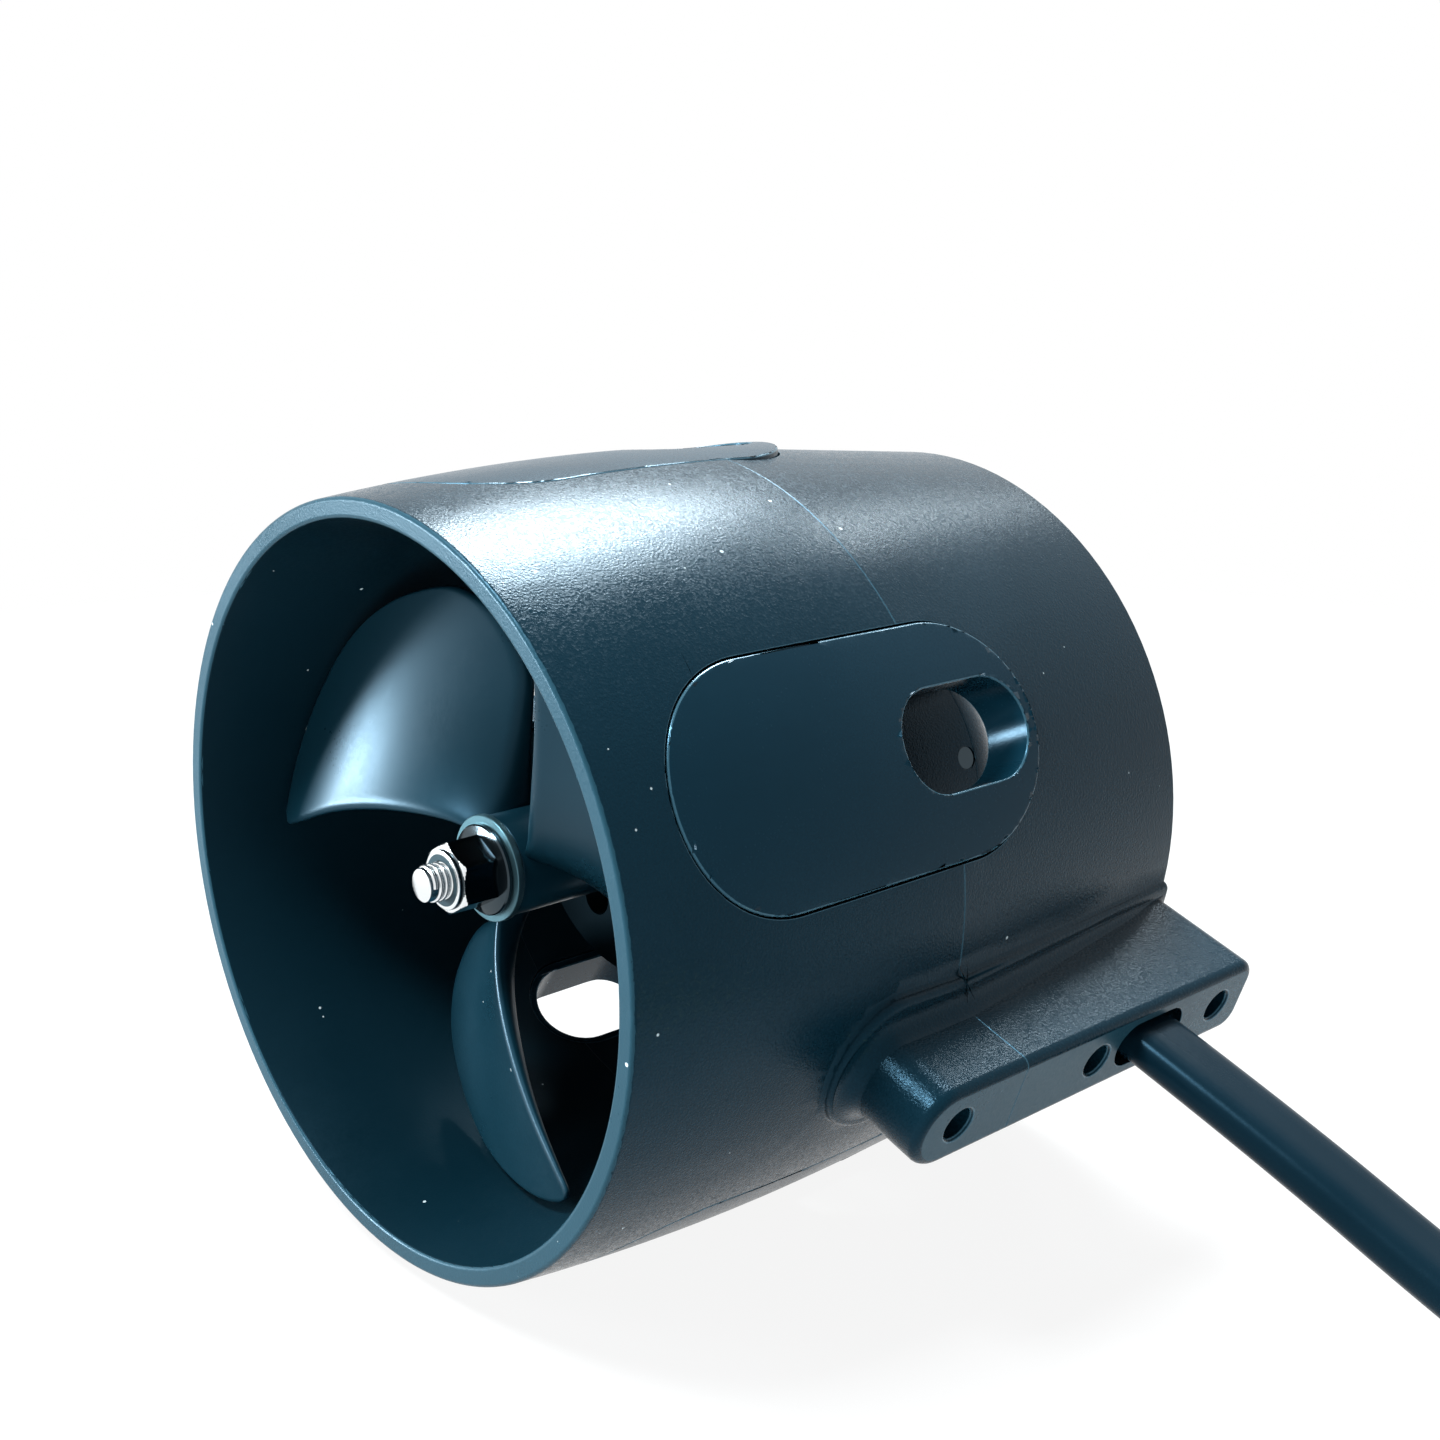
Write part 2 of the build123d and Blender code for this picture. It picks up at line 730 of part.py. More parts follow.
# Rotor: bell, flux ring, magnets
bell_plate_end = bell_front + bell_plate
thrust_face = tube_front - bush_flange_thickness - 2 * running_fit
boss_start = hub_end + boss_gap
boss_end = thrust_face - thrust_washer_thickness
grub_station = (boss_start + bell_front) / 2
with BuildPart() as rotor_bell:
    ring(boss_start, bell_front, bell_boss_radius)
    ring(bell_front, bell_end, bell_radius)
    with BuildSketch(station(bell_plate_end)):
        Circle(bell_radius - bell_wall)
    extrude(amount=-(bell_end - bell_plate_end), mode=Mode.SUBTRACT)
    ring(bell_plate_end, boss_end, bell_inner_boss_radius)
    with BuildSketch(station(boss_start)):
        Circle(shaft_radius + shaft_fit)
    extrude(amount=-(boss_end - boss_start), mode=Mode.SUBTRACT)
    with BuildSketch(station(bell_front)):
        with PolarLocations(vent_circle, vent_count):
            Circle(vent_radius)
    extrude(amount=-bell_plate, mode=Mode.SUBTRACT)
    with BuildSketch(facing(grub_station, 90, bell_boss_radius + tool_margin)):
        Circle(grub_radius + screw_clearance)
    extrude(amount=-(bell_boss_radius + tool_margin - shaft_radius), mode=Mode.SUBTRACT)
finish(rotor_bell, "rotor_bell")
with BuildPart() as grub_screw:
    with BuildSketch(facing(grub_station, 90, shaft_radius + shaft_fit)):
        Circle(grub_radius)
    extrude(amount=grub_length)
finish(grub_screw, "grub_screw")
with BuildPart() as flux_ring:
    ring(
        flux_ring_start,
        flux_ring_start + flux_ring_length,
        bell_radius - bell_wall - shaft_fit,
        magnet_outer,
    )
finish(flux_ring, "flux_ring")
with BuildPart() as magnets:
    with BuildSketch(station(magnet_start)):
        Circle(magnet_outer - shaft_fit)
        Circle(magnet_inner, mode=Mode.SUBTRACT)
        with PolarLocations((magnet_outer + magnet_inner) / 2, magnet_count):
            Rectangle(
                3 * magnet_thickness,
                2 * math.pi * magnet_outer / magnet_count * (1 - magnet_share),
                mode=Mode.SUBTRACT,
            )
    extrude(amount=-magnet_length)
finish(magnets, "magnets")

# Shaft with its clip groove and pin hole, thrust washer and clip
pin_station = hub_end - pin_radius - pin_slot_clearance
clip_start = seat_station + bush_flange_thickness + 2 * running_fit
with BuildPart() as shaft:
    ring(shaft_tip, shaft_end, shaft_radius)
    shaft_ends = shaft.edges().filter_by(GeomType.CIRCLE)
    chamfer(shaft_ends, length=shaft_chamfer)
    with BuildSketch(station(clip_start)):
        Circle(shaft_radius + tool_margin)
        Circle(clip_groove_radius, mode=Mode.SUBTRACT)
    extrude(amount=-clip_thickness - shaft_fit, mode=Mode.SUBTRACT)
    with BuildSketch(facing(pin_station, 0, -pin_length)):
        Circle(pin_radius + shaft_fit)
    extrude(amount=2 * pin_length, mode=Mode.SUBTRACT)
finish(shaft, "shaft")
with BuildPart() as drive_pin:
    with BuildSketch(facing(pin_station, 0, -pin_length / 2)):
        Circle(pin_radius)
    extrude(amount=pin_length)
finish(drive_pin, "drive_pin")
with BuildPart() as thrust_washer:
    ring(boss_end, thrust_face, bush_flange_radius, shaft_radius + shaft_fit)
finish(thrust_washer, "thrust_washer")
with BuildPart() as shaft_clip:
    with BuildSketch(station(clip_start)):
        Circle(clip_radius)
        Circle(clip_groove_radius + shaft_fit, mode=Mode.SUBTRACT)
        with Locations((clip_radius, 0)):
            Rectangle(2 * clip_radius, clip_mouth, mode=Mode.SUBTRACT)
    extrude(amount=-clip_thickness)
finish(shaft_clip, "shaft_clip")

# Washer, lock nut and its insert
nut_start = hub_start - washer_gap - washer_thickness - nut_length
nut_end = nut_start + nut_length
flange_start = nut_end - nut_flange_thickness
hex_start = flange_start - nut_hex_length
with BuildPart() as prop_washer:
    ring(nut_end, nut_end + washer_thickness, washer_radius, shaft_radius + shaft_fit)
finish(prop_washer, "prop_washer")
with BuildPart() as lock_nut:
    ring(nut_start, hex_start, nut_collar_radius)
    with BuildSketch(station(hex_start)):
        RegularPolygon(nut_across_flats / 2, 6, major_radius=False)
    extrude(amount=-nut_hex_length)
    ring(flange_start, nut_end, nut_flange_radius)
    with BuildSketch(station(nut_start)):
        Circle(shaft_radius + shaft_fit)
    extrude(amount=-nut_length, mode=Mode.SUBTRACT)
    with BuildSketch(station(nut_start)):
        Circle(insert_radius)
    extrude(amount=-insert_length, mode=Mode.SUBTRACT)
finish(lock_nut, "lock_nut")
with BuildPart() as nut_insert:
    ring(
        nut_start,
        nut_start + insert_length - shaft_fit,
        insert_radius - shaft_fit,
        shaft_radius + shaft_fit,
    )
finish(nut_insert, "nut_insert")

# Propeller: helical blades, trimmed to the outline seen along the shaft
blade_lead_edge = [(5.0, -26), (8.7, -26), (16.0, -17), (29.1, -6), (tip_radius - 1.4, 4.5)]
blade_tip_edge = [(tip_radius, 0), (tip_radius, -30), (tip_radius - 1.7, -46), (tip_radius - 6.4, -64)]
blade_trail_edge = [(27.2, -78.5), (15.2, -69), (9.5, -61), (5.0, -52)]
blade_span = (-86.0, 10.0)
blade_outer_section = tip_radius + 2 * tool_margin


def polar(radius, angle):
    """A point in the plane across the shaft."""
    return (radius * math.cos(math.radians(angle)), radius * math.sin(math.radians(angle)))


def blade_section(turn, lead_angle):
    """The section of a blade on a half plane, a given turn from its reference line."""
    front = blade_lead_station - blade_pitch_per_degree * turn
    with BuildSketch(half_plane(lead_angle + turn)) as section:
        with BuildLine():
            Polyline(
                (front, blade_root_radius),
                (front, blade_outer_section),
                (front + blade_tip_thickness, blade_outer_section),
                (front + blade_root_thickness, blade_root_radius),
                close=True,
            )
        make_face()
    return section.sketch


blades = []
for index in range(blade_count):
    lead_angle = blade_lead_angle + 360 / blade_count * index
    lead_points = [polar(radius, lead_angle + turn) for radius, turn in blade_lead_edge]
    tip_points = [polar(radius, lead_angle + turn) for radius, turn in blade_tip_edge]
    trail_points = [polar(radius, lead_angle + turn) for radius, turn in blade_trail_edge]
    step = (blade_span[1] - blade_span[0]) / (blade_sections - 1)
    with BuildPart() as blade:
        loft([blade_section(blade_span[0] + step * place, lead_angle) for place in range(blade_sections)])
        with BuildSketch(station(0)) as blade_outline:
            with BuildLine():
                Spline(*lead_points)
                Line(lead_points[-1], tip_points[0])
                Spline(*tip_points)
                Spline(tip_points[-1], *trail_points)
                Line(trail_points[-1], lead_points[0])
            make_face()
        extrude(blade_outline.sketch, amount=-duct_length / 2, mode=Mode.INTERSECT)
    blades.append(blade.part)

with BuildPart() as propeller:
    ring(hub_start, hub_end, hub_radius)
    for blade_solid in blades:
        add(blade_solid)
    with BuildSketch(station(0)):
        Circle(washer_radius + washer_ring_gap)
    extrude(amount=-hub_start, mode=Mode.SUBTRACT)
    with BuildSketch(station(0)):
        Circle(shaft_radius + shaft_fit)
    extrude(amount=-duct_length / 2, mode=Mode.SUBTRACT)
    with BuildSketch(station(pin_station - pin_radius - pin_slot_clearance)):
        Rectangle(pin_length + 2 * washer_ring_gap, 2 * (pin_radius + pin_slot_clearance))
    extrude(amount=-duct_length / 2, mode=Mode.SUBTRACT)
finish(propeller, "propeller")

# Phase leads: three in a row, from the coils through the foot vane to the cable seal
seal_outer = foot_reach - seal_recess
seal_inner = seal_outer - seal_depth
lead_start = stack_end + coil_overhang
with BuildPart() as phase_leads:
    for index in (-1, 0, 1):
        lead_height = lead_circle - index * lead_spacing
        lead_station = outlet_station + index * lead_spacing
        with BuildLine(half_plane(foot_angle)) as lead_path:
            FilletPolyline(
                (lead_start, lead_height),
                (lead_station, lead_height),
                (lead_station, seal_inner),
                radius=lead_bend,
            )
        with BuildSketch(Plane(origin=lead_path.line @ 0, z_dir=lead_path.line % 0)) as lead_section:
            Circle(lead_radius)
        sweep(lead_section.sketch, path=lead_path.line)
finish(phase_leads, "phase_leads")

with BuildPart() as cable_seal:
    with BuildSketch(facing(outlet_station, foot_angle, seal_outer)):
        SlotOverall(outlet_length - 2 * seal_gap, outlet_width - 2 * seal_gap)
    extrude(amount=-seal_depth)
finish(cable_seal, "cable_seal")

# Cable: out of the foot, down to the floor, into a coil
cable_start = facing(outlet_station, foot_angle, seal_outer).origin
cable_out = facing(outlet_station, foot_angle, 1).z_dir
cable_y = cable_start.Y
first_corner = cable_start + cable_out * cable_first_run
coil_centre = Vector(hub_point.X + coil_centre_reach, cable_y - coil_turn_radius, 0)
route = [
    cable_start,
    first_corner,
    Vector(117.0, cable_y, 15.6),
    Vector(142.5, cable_y, 6.9),
    Vector(163.5, cable_y, cable_thickness / 2),
    Vector(coil_centre.X - coil_stub, cable_y, cable_thickness / 2),
]
runs = [route[place + 1] - route[place] for place in range(len(route) - 1)]
bend_radii = []
for before, after in zip(runs, runs[1:]):
    half_turn = math.radians(before.get_angle(after)) / 2
    bend_radii.append(bend_share * min(before.length, after.length) / math.tan(half_turn))
with BuildPart() as cable:
    with BuildLine() as cable_path:
        FilletPolyline(*route, radius=bend_radii)
    with BuildSketch(Plane(origin=cable_start, x_dir=(0, 1, 0), z_dir=cable_out)) as cable_section:
        SlotOverall(cable_width, cable_thickness)
    sweep(cable_section.sketch, path=cable_path.line)
finish(cable, "cable")

coil_axis = Axis(coil_centre, (0, 0, 1))


def coil_section(angle, height, width, thickness):
    """A stadium across the coil's ring, at an angle about the coil and a height above the floor."""
    turn = math.radians(angle)
    outwards = Vector(math.cos(turn), math.sin(turn), 0)
    place = coil_centre + outwards * coil_turn_radius + Vector(0, 0, height)
    with BuildSketch(Plane(origin=place, x_dir=outwards, z_dir=(-math.sin(turn), math.cos(turn), 0))) as section:
        SlotOverall(width, thickness)
    return section.sketch


layer_heights = [cable_thickness * (layer + 0.5) for layer in range(coil_layers)]
coil_end_angle = 90.0 - coil_second_turn
with BuildPart() as cable_coil:
    revolve(coil_section(0, layer_heights[0], cable_width, cable_thickness), axis=coil_axis)
    stub_plane = Plane(origin=route[-1], x_dir=(0, 1, 0), z_dir=(1, 0, 0))
    with BuildSketch(stub_plane) as stub_section:
        SlotOverall(cable_width, cable_thickness)
    extrude(stub_section.sketch, amount=coil_stub)
    revolve(
        coil_section(coil_end_angle, layer_heights[1], cable_width, cable_thickness),
        axis=coil_axis,
        revolution_arc=coil_second_turn,
    )
finish(cable_coil, "cable_coil")

# The far end: a shrunk sleeve, three leads and a bullet plug on each
sleeve_thickness = cable_thickness + 2 * sleeve_wall
sleeve_height = cable_thickness + sleeve_thickness / 2
lead_end_angle = coil_end_angle - sleeve_angle - tail_lead_angle
plug_spacing = 2 * plug_radius + plug_gap
with BuildPart() as cable_sleeve:
    revolve(
        coil_section(
            coil_end_angle - sleeve_angle, sleeve_height, cable_width + 2 * sleeve_wall, sleeve_thickness
        ),
        axis=coil_axis,
        revolution_arc=sleeve_angle,
    )
finish(cable_sleeve, "cable_sleeve")
for index, lead_name in enumerate(("a", "b", "c")):
    lead_offset = (index - 1) * plug_spacing
    turn = math.radians(lead_end_angle)
    outwards = Vector(math.cos(turn), math.sin(turn), 0)
    onwards = Vector(math.sin(turn), -math.cos(turn), 0)
    lead_end = coil_centre + outwards * (coil_turn_radius + lead_offset) + Vector(0, 0, sleeve_height)
    lead_plane = Plane(origin=lead_end, x_dir=outwards, z_dir=onwards)
    with BuildPart() as tail_lead:
        with BuildSketch(lead_plane) as tail_section:
            Circle(tail_lead_radius)
        revolve(tail_section.sketch, axis=coil_axis, revolution_arc=tail_lead_angle)
    finish(tail_lead, f"tail_lead_{lead_name}")
    with BuildPart() as bullet_plug:
        with BuildSketch(lead_plane) as plug_section:
            Circle(plug_radius)
        extrude(plug_section.sketch, amount=plug_length)
        with BuildSketch(lead_plane.offset(plug_length)) as pin_section:
            Circle(plug_pin_radius)
        extrude(pin_section.sketch, amount=plug_pin_length)
    finish(bullet_plug, f"bullet_plug_{lead_name}")
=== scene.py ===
"""Dresses the ducted underwater motor: its shells, propeller, threaded shaft end and flat cable.

Lengths are in metres. The shaft lies along Y with the intake towards -Y, a station is a distance
behind the front rim, and an angle turns about the shaft from +X towards +Z.
"""

from __future__ import annotations

import json
import logging
import math
from collections.abc import Callable
from dataclasses import dataclass, field
from enum import Enum, IntEnum

import bmesh
import bpy
from mathutils import Matrix, Vector

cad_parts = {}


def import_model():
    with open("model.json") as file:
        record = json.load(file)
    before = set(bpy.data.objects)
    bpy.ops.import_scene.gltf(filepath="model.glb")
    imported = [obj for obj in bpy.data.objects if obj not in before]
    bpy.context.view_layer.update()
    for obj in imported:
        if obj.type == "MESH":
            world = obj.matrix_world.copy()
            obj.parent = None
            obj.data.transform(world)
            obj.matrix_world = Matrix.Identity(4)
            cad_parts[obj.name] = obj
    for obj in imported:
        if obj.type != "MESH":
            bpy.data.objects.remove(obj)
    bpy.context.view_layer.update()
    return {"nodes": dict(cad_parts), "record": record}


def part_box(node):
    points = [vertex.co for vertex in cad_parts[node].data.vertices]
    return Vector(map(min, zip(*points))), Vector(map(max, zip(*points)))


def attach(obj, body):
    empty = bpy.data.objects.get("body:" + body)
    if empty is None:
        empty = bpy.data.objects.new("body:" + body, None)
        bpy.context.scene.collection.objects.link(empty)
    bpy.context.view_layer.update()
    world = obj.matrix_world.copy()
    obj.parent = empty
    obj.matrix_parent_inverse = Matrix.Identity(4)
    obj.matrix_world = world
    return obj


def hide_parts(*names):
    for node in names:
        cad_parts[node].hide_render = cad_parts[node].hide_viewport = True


log = logging.getLogger("underwater_motor")
MM = 0.001
FOOT_ANGLE = -19.4
MERGE_DISTANCE = 2e-5
FLAT_DEGREES = 0.05
SHARP_DEGREES = 40
Point = tuple[float, float]


class Body(Enum):
    """The two bodies of the motor."""

    HOUSING = "housing"
    ROTOR = "rotor"


class ShellFace(IntEnum):
    """The material slots of a softened shell."""

    WALL = 0
    # The rounds, painted lighter as a painted highlight.
    EDGE = 1
    # The water passage, painted darker as painted shade.
    PASSAGE = 2
    # The rim and the foot's end face, painted lighter as painted light.
    PAINTED_LIT_FACE = 3


@dataclass(frozen=True)
class ShaftFrame:
    """Where the shaft's axis meets the plane of the front rim.

    Args:
        hub: that point, in the row frame.
    """

    hub: Vector

    @classmethod
    def from_nodes(cls) -> ShaftFrame:
        """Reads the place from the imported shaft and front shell.

        Returns:
            The frame of this motor.
        """
        shaft_low, shaft_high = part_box("shaft")
        rim_low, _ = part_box("front_duct")
        middle = (shaft_low + shaft_high) / 2
        return cls(Vector((middle.x, rim_low.y, middle.z)))

    def place(self, station: float, angle: float, radius: float) -> Vector:
        """Turns a place about the shaft into a point.

        Args:
            station: the distance behind the front rim, in millimetres.
            angle: the turn about the shaft, in degrees.
            radius: the distance from the shaft, in millimetres.

        Returns:
            The point, in the row frame.
        """
        turn = math.radians(angle)
        offset = Vector((radius * math.cos(turn), station, radius * math.sin(turn)))
        return self.hub + offset * MM


def smooth_curve(points: list[Point], at: float) -> float:
    """Reads a smooth curve through points without overshoot.

    Args:
        points: pairs of position and value, by rising position.
        at: the position to read.

    Returns:
        The value there, held level beyond both ends.
    """
    if at <= points[0][0]:
        return points[0][1]
    if at >= points[-1][0]:
        return points[-1][1]
    slopes = [(b[1] - a[1]) / (b[0] - a[0]) for a, b in zip(points, points[1:])]
    tangents = [slopes[0]]
    for before, after in zip(slopes, slopes[1:]):
        same_way = before * after > 0
        tangents.append(2 * before * after / (before + after) if same_way else 0.0)
    tangents.append(slopes[-1])
    place = max(i for i, point in enumerate(points[:-1]) if point[0] <= at)
    (x0, y0), (x1, y1) = points[place], points[place + 1]
    run = x1 - x0
    t = (at - x0) / run
    rise = y0 * (2 * t**3 - 3 * t**2 + 1) + y1 * (3 * t**2 - 2 * t**3)
    bend = tangents[place] * (t**3 - 2 * t**2 + t) + tangents[place + 1] * (t**3 - t**2)
    return rise + bend * run


def mesh_object(name: str, vertices: list[Vector], faces: list[tuple[int, ...]]) -> bpy.types.Object:
    """Makes a smooth-shaded object with outward faces.

    Args:
        name: the piece's name.
        vertices: its corners, in the row frame.
        faces: its faces, as corner numbers.

    Returns:
        The new object, linked to the scene.
    """
    mesh = bpy.data.meshes.new(name)
    mesh.from_pydata([tuple(v) for v in vertices], [], faces)
    work = bmesh.new()
    work.from_mesh(mesh)
    bmesh.ops.remove_doubles(work, verts=work.verts, dist=1e-7)
    bmesh.ops.recalc_face_normals(work, faces=work.faces)
    work.to_mesh(mesh)
    work.free()
    piece = bpy.data.objects.new(name, mesh)
    bpy.context.scene.collection.objects.link(piece)
    mesh.shade_smooth()
    return piece


def tube_faces(rows: int, count: int) -> list[tuple[int, ...]]:
    """Lists the faces between closed rings of corners.

    Args:
        rows: the number of rings.
        count: the corners of a ring.

    Returns:
        The faces, as corner numbers.
    """
    faces: list[tuple[int, ...]] = []
    for row in range(rows - 1):
        near, far = row * count, (row + 1) * count
        for i in range(count):
            j = (i + 1) % count
            faces.append((near + i, near + j, far + j, far + i))
    return faces


def keep_sharp(piece: bpy.types.Object, degrees: float) -> None:
    """Shades a piece smooth except across edges sharper than an angle, in degrees."""
    piece.data.set_sharp_from_angle(angle=math.radians(degrees))


def settle(piece: bpy.types.Object) -> bpy.types.Object:
    """Turns a piece's modifiers into plain mesh and takes them off.

    Args:
        piece: the piece.

    Returns:
        The same piece.
    """
    graph = bpy.context.evaluated_depsgraph_get()
    finished = bpy.data.meshes.new_from_object(piece.evaluated_get(graph))
    piece.modifiers.clear()
    piece.data = finished
    return piece


def softened(
    node: str, width: float, finish: bpy.types.Material, edge: bpy.types.Material, segments: int = 2
) -> bpy.types.Object:
    """Copies a CAD node with a small round on its outward sharp edges, the round painted lighter as a
    painted highlight.

    Args:
        node: the CAD node's name.
        width: the round's width, in millimetres.
        finish: the node's material.
        edge: the rounds' material, lighter as a painted highlight.
        segments: the steps in the round.

    Returns:
        The copy, ready to replace the node.
    """
    source = bpy.data.objects[node]
    mesh = source.data.copy()
    work = bmesh.new()
    work.from_mesh(mesh)
    bmesh.ops.remove_doubles(work, verts=work.verts, dist=MERGE_DISTANCE)
    flat, sharp = math.radians(FLAT_DEGREES), math.radians(SHARP_DEGREES)
    bmesh.ops.dissolve_limit(work, angle_limit=flat, verts=work.verts, edges=work.edges)
    rounded = work.edges.layers.float.new("bevel_weight_edge")
    for line in work.edges:
        turned_out = len(line.link_faces) == 2 and line.calc_face_angle_signed() > sharp
        line[rounded] = 1.0 if turned_out else 0.0
    work.to_mesh(mesh)
    work.free()
    mesh.materials.clear()
    mesh.materials.append(finish)
    mesh.materials.append(edge)
    for face in mesh.polygons:
        face.material_index = ShellFace.WALL
    piece = bpy.data.objects.new(f"{node}_finished", mesh)
    bpy.context.scene.collection.objects.link(piece)
    mesh.shade_smooth()
    bevel = piece.modifiers.new("edge round", "BEVEL")
    bevel.width = width * MM
    bevel.segments = segments
    bevel.limit_method = "WEIGHT"
    bevel.use_clamp_overlap = False
    # The rounds take the lighter edge material, a painted highlight.
    bevel.material = ShellFace.EDGE
    weighted = piece.modifiers.new("even shading", "WEIGHTED_NORMAL")
    weighted.weight = 100
    settle(piece)
    return piece


def lathe(name: str, frame: ShaftFrame, profile: list[Point], steps: int = 96) -> bpy.types.Object:
    """Turns a closed profile about the shaft.

    Args:
        name: the piece's name.
        frame: where the shaft is.
        profile: stations and radii round the section, in millimetres.
        steps: the number of steps round.

    Returns:
        The turned piece.
    """
    vertices = []
    for step in range(steps):
        angle = 360 * step / steps
        vertices += [frame.place(station, angle, radius) for station, radius in profile]
    count = len(profile)
    faces = []
    for step in range(steps):
        near, far = step * count, (step + 1) % steps * count
        for i in range(count):
            j = (i + 1) % count
            faces.append((near + i, near + j, far + j, far + i))
    piece = mesh_object(name, vertices, faces)
    keep_sharp(piece, 35)
    return piece


class NodeSheet:
    """A small helper that adds and joins shader nodes in one tree."""

    def __init__(self, tree: bpy.types.NodeTree) -> None:
        """Starts on a tree."""
        self.tree = tree

    def add(self, kind: str, **settings: object) -> bpy.types.Node:
        """Adds a node.

        Args:
            kind: the node's type.
            settings: its attributes.

        Returns:
            The node.
        """
        node = self.tree.nodes.new(kind)
        for key, value in settings.items():
            setattr(node, key, value)
        return node

    def join(self, source: bpy.types.NodeSocket, target: bpy.types.NodeSocket) -> None:
        """Joins an output to an input."""
        self.tree.links.new(source, target)

    def math(
        self, operation: str, first: object, second: object = None, clamp: bool = False
    ) -> bpy.types.NodeSocket:
        """Adds a math node on sockets or numbers.

        Args:
            operation: what it does.
            first: its first value.
            second: its second value, where it has one.
            clamp: whether the result is held between 0 and 1.

        Returns:
            Its output.
        """
        node = self.add("ShaderNodeMath", operation=operation, use_clamp=clamp)
        for place, value in enumerate((first, second)):
            if value is None:
                continue
            if isinstance(value, (int, float)):
                node.inputs[place].default_value = value
            else:
                self.join(value, node.inputs[place])
        return node.outputs[0]

    def band(
        self, value: bpy.types.NodeSocket, low: float, high: float, to_low: float, to_high: float
    ) -> bpy.types.NodeSocket:
        """Maps a range to another and holds it at its ends.

        Args:
            value: the number to map.
            low: where its range starts.
            high: where its range ends.
            to_low: what the start becomes.
            to_high: what the end becomes.

        Returns:
            The mapped output.
        """
        node = self.add("ShaderNodeMapRange")
        self.join(value, node.inputs["Value"])
        ends = {"From Min": low, "From Max": high, "To Min": to_low, "To Max": to_high}
        for name, number in ends.items():
            node.inputs[name].default_value = number
        return node.outputs["Result"]


def group_sockets(tree: bpy.types.NodeTree, inputs: dict[str, float], outputs: list[str]) -> None:
    """Gives a shader group its position input and its named numbers.

    Args:
        tree: the group.
        inputs: its number inputs and their values.
        outputs: its number outputs.
    """
    tree.interface.new_socket("Position", in_out="INPUT", socket_type="NodeSocketVector")
    for name, value in inputs.items():
        socket = tree.interface.new_socket(name, in_out="INPUT", socket_type="NodeSocketFloat")
        socket.default_value = value
    for name in outputs:
        tree.interface.new_socket(name, in_out="OUTPUT", socket_type="NodeSocketFloat")


def spark_grain_group() -> bpy.types.NodeTree:
    """Builds the fine spark-eroded grain: a height and a mask of bright facets.

    Returns:
        The node group.
    """
    tree = bpy.data.node_groups.new("spark grain", "ShaderNodeTree")
    group_sockets(tree, {"Scale": 2600.0, "Facets": 0.5}, ["Height", "Facet Mask", "Cloud"])
    sheet = NodeSheet(tree)
    start, end = sheet.add("NodeGroupInput"), sheet.add("NodeGroupOutput")
    fine = sheet.add("ShaderNodeTexNoise")
    fine.inputs["Detail"].default_value = 3.0
    fine.inputs["Roughness"].default_value = 0.65
    pits = sheet.add("ShaderNodeTexVoronoi")
    for texture in (fine, pits):
        sheet.join(start.outputs["Position"], texture.inputs["Vector"])
        sheet.join(start.outputs["Scale"], texture.inputs["Scale"])
    height = sheet.math("ADD", fine.outputs["Fac"], sheet.math("MULTIPLY", pits.outputs["Distance"], 0.5))
    sheet.join(height, end.inputs["Height"])
    split = sheet.add("ShaderNodeSeparateColor")
    sheet.join(pits.outputs["Color"], split.inputs["Color"])
    facet = sheet.math("MULTIPLY", split.outputs["Red"], start.outputs["Facets"])
    sheet.join(facet, end.inputs["Facet Mask"])
    cloud = sheet.add("ShaderNodeTexNoise")
    cloud.inputs["Scale"].default_value = 28.0
    cloud.inputs["Detail"].default_value = 4.0
    sheet.join(start.outputs["Position"], cloud.inputs["Vector"])
    sheet.join(cloud.outputs["Fac"], end.inputs["Cloud"])
    return tree


def dust_group() -> bpy.types.NodeTree:
    """Builds a mask of sparse pale dust specks of mixed sizes.

    Returns:
        The node group.
    """
    tree = bpy.data.node_groups.new("dust specks", "ShaderNodeTree")
    group_sockets(tree, {"Scale": 240.0, "Size": 0.06, "Rarity": 0.8}, ["Specks"])
    sheet = NodeSheet(tree)
    start, end = sheet.add("NodeGroupInput"), sheet.add("NodeGroupOutput")
    cells = sheet.add("ShaderNodeTexVoronoi")
    sheet.join(start.outputs["Position"], cells.inputs["Vector"])
    sheet.join(start.outputs["Scale"], cells.inputs["Scale"])
    split = sheet.add("ShaderNodeSeparateColor")
    sheet.join(cells.outputs["Color"], split.inputs["Color"])
    chosen = sheet.math("GREATER_THAN", split.outputs["Green"], start.outputs["Rarity"])
    reach = sheet.math("MULTIPLY", start.outputs["Size"], sheet.math("ADD", split.outputs["Blue"], 0.3))
    near = sheet.math("LESS_THAN", cells.outputs["Distance"], reach)
    sheet.join(sheet.math("MULTIPLY", chosen, near), end.inputs["Specks"])
    return tree


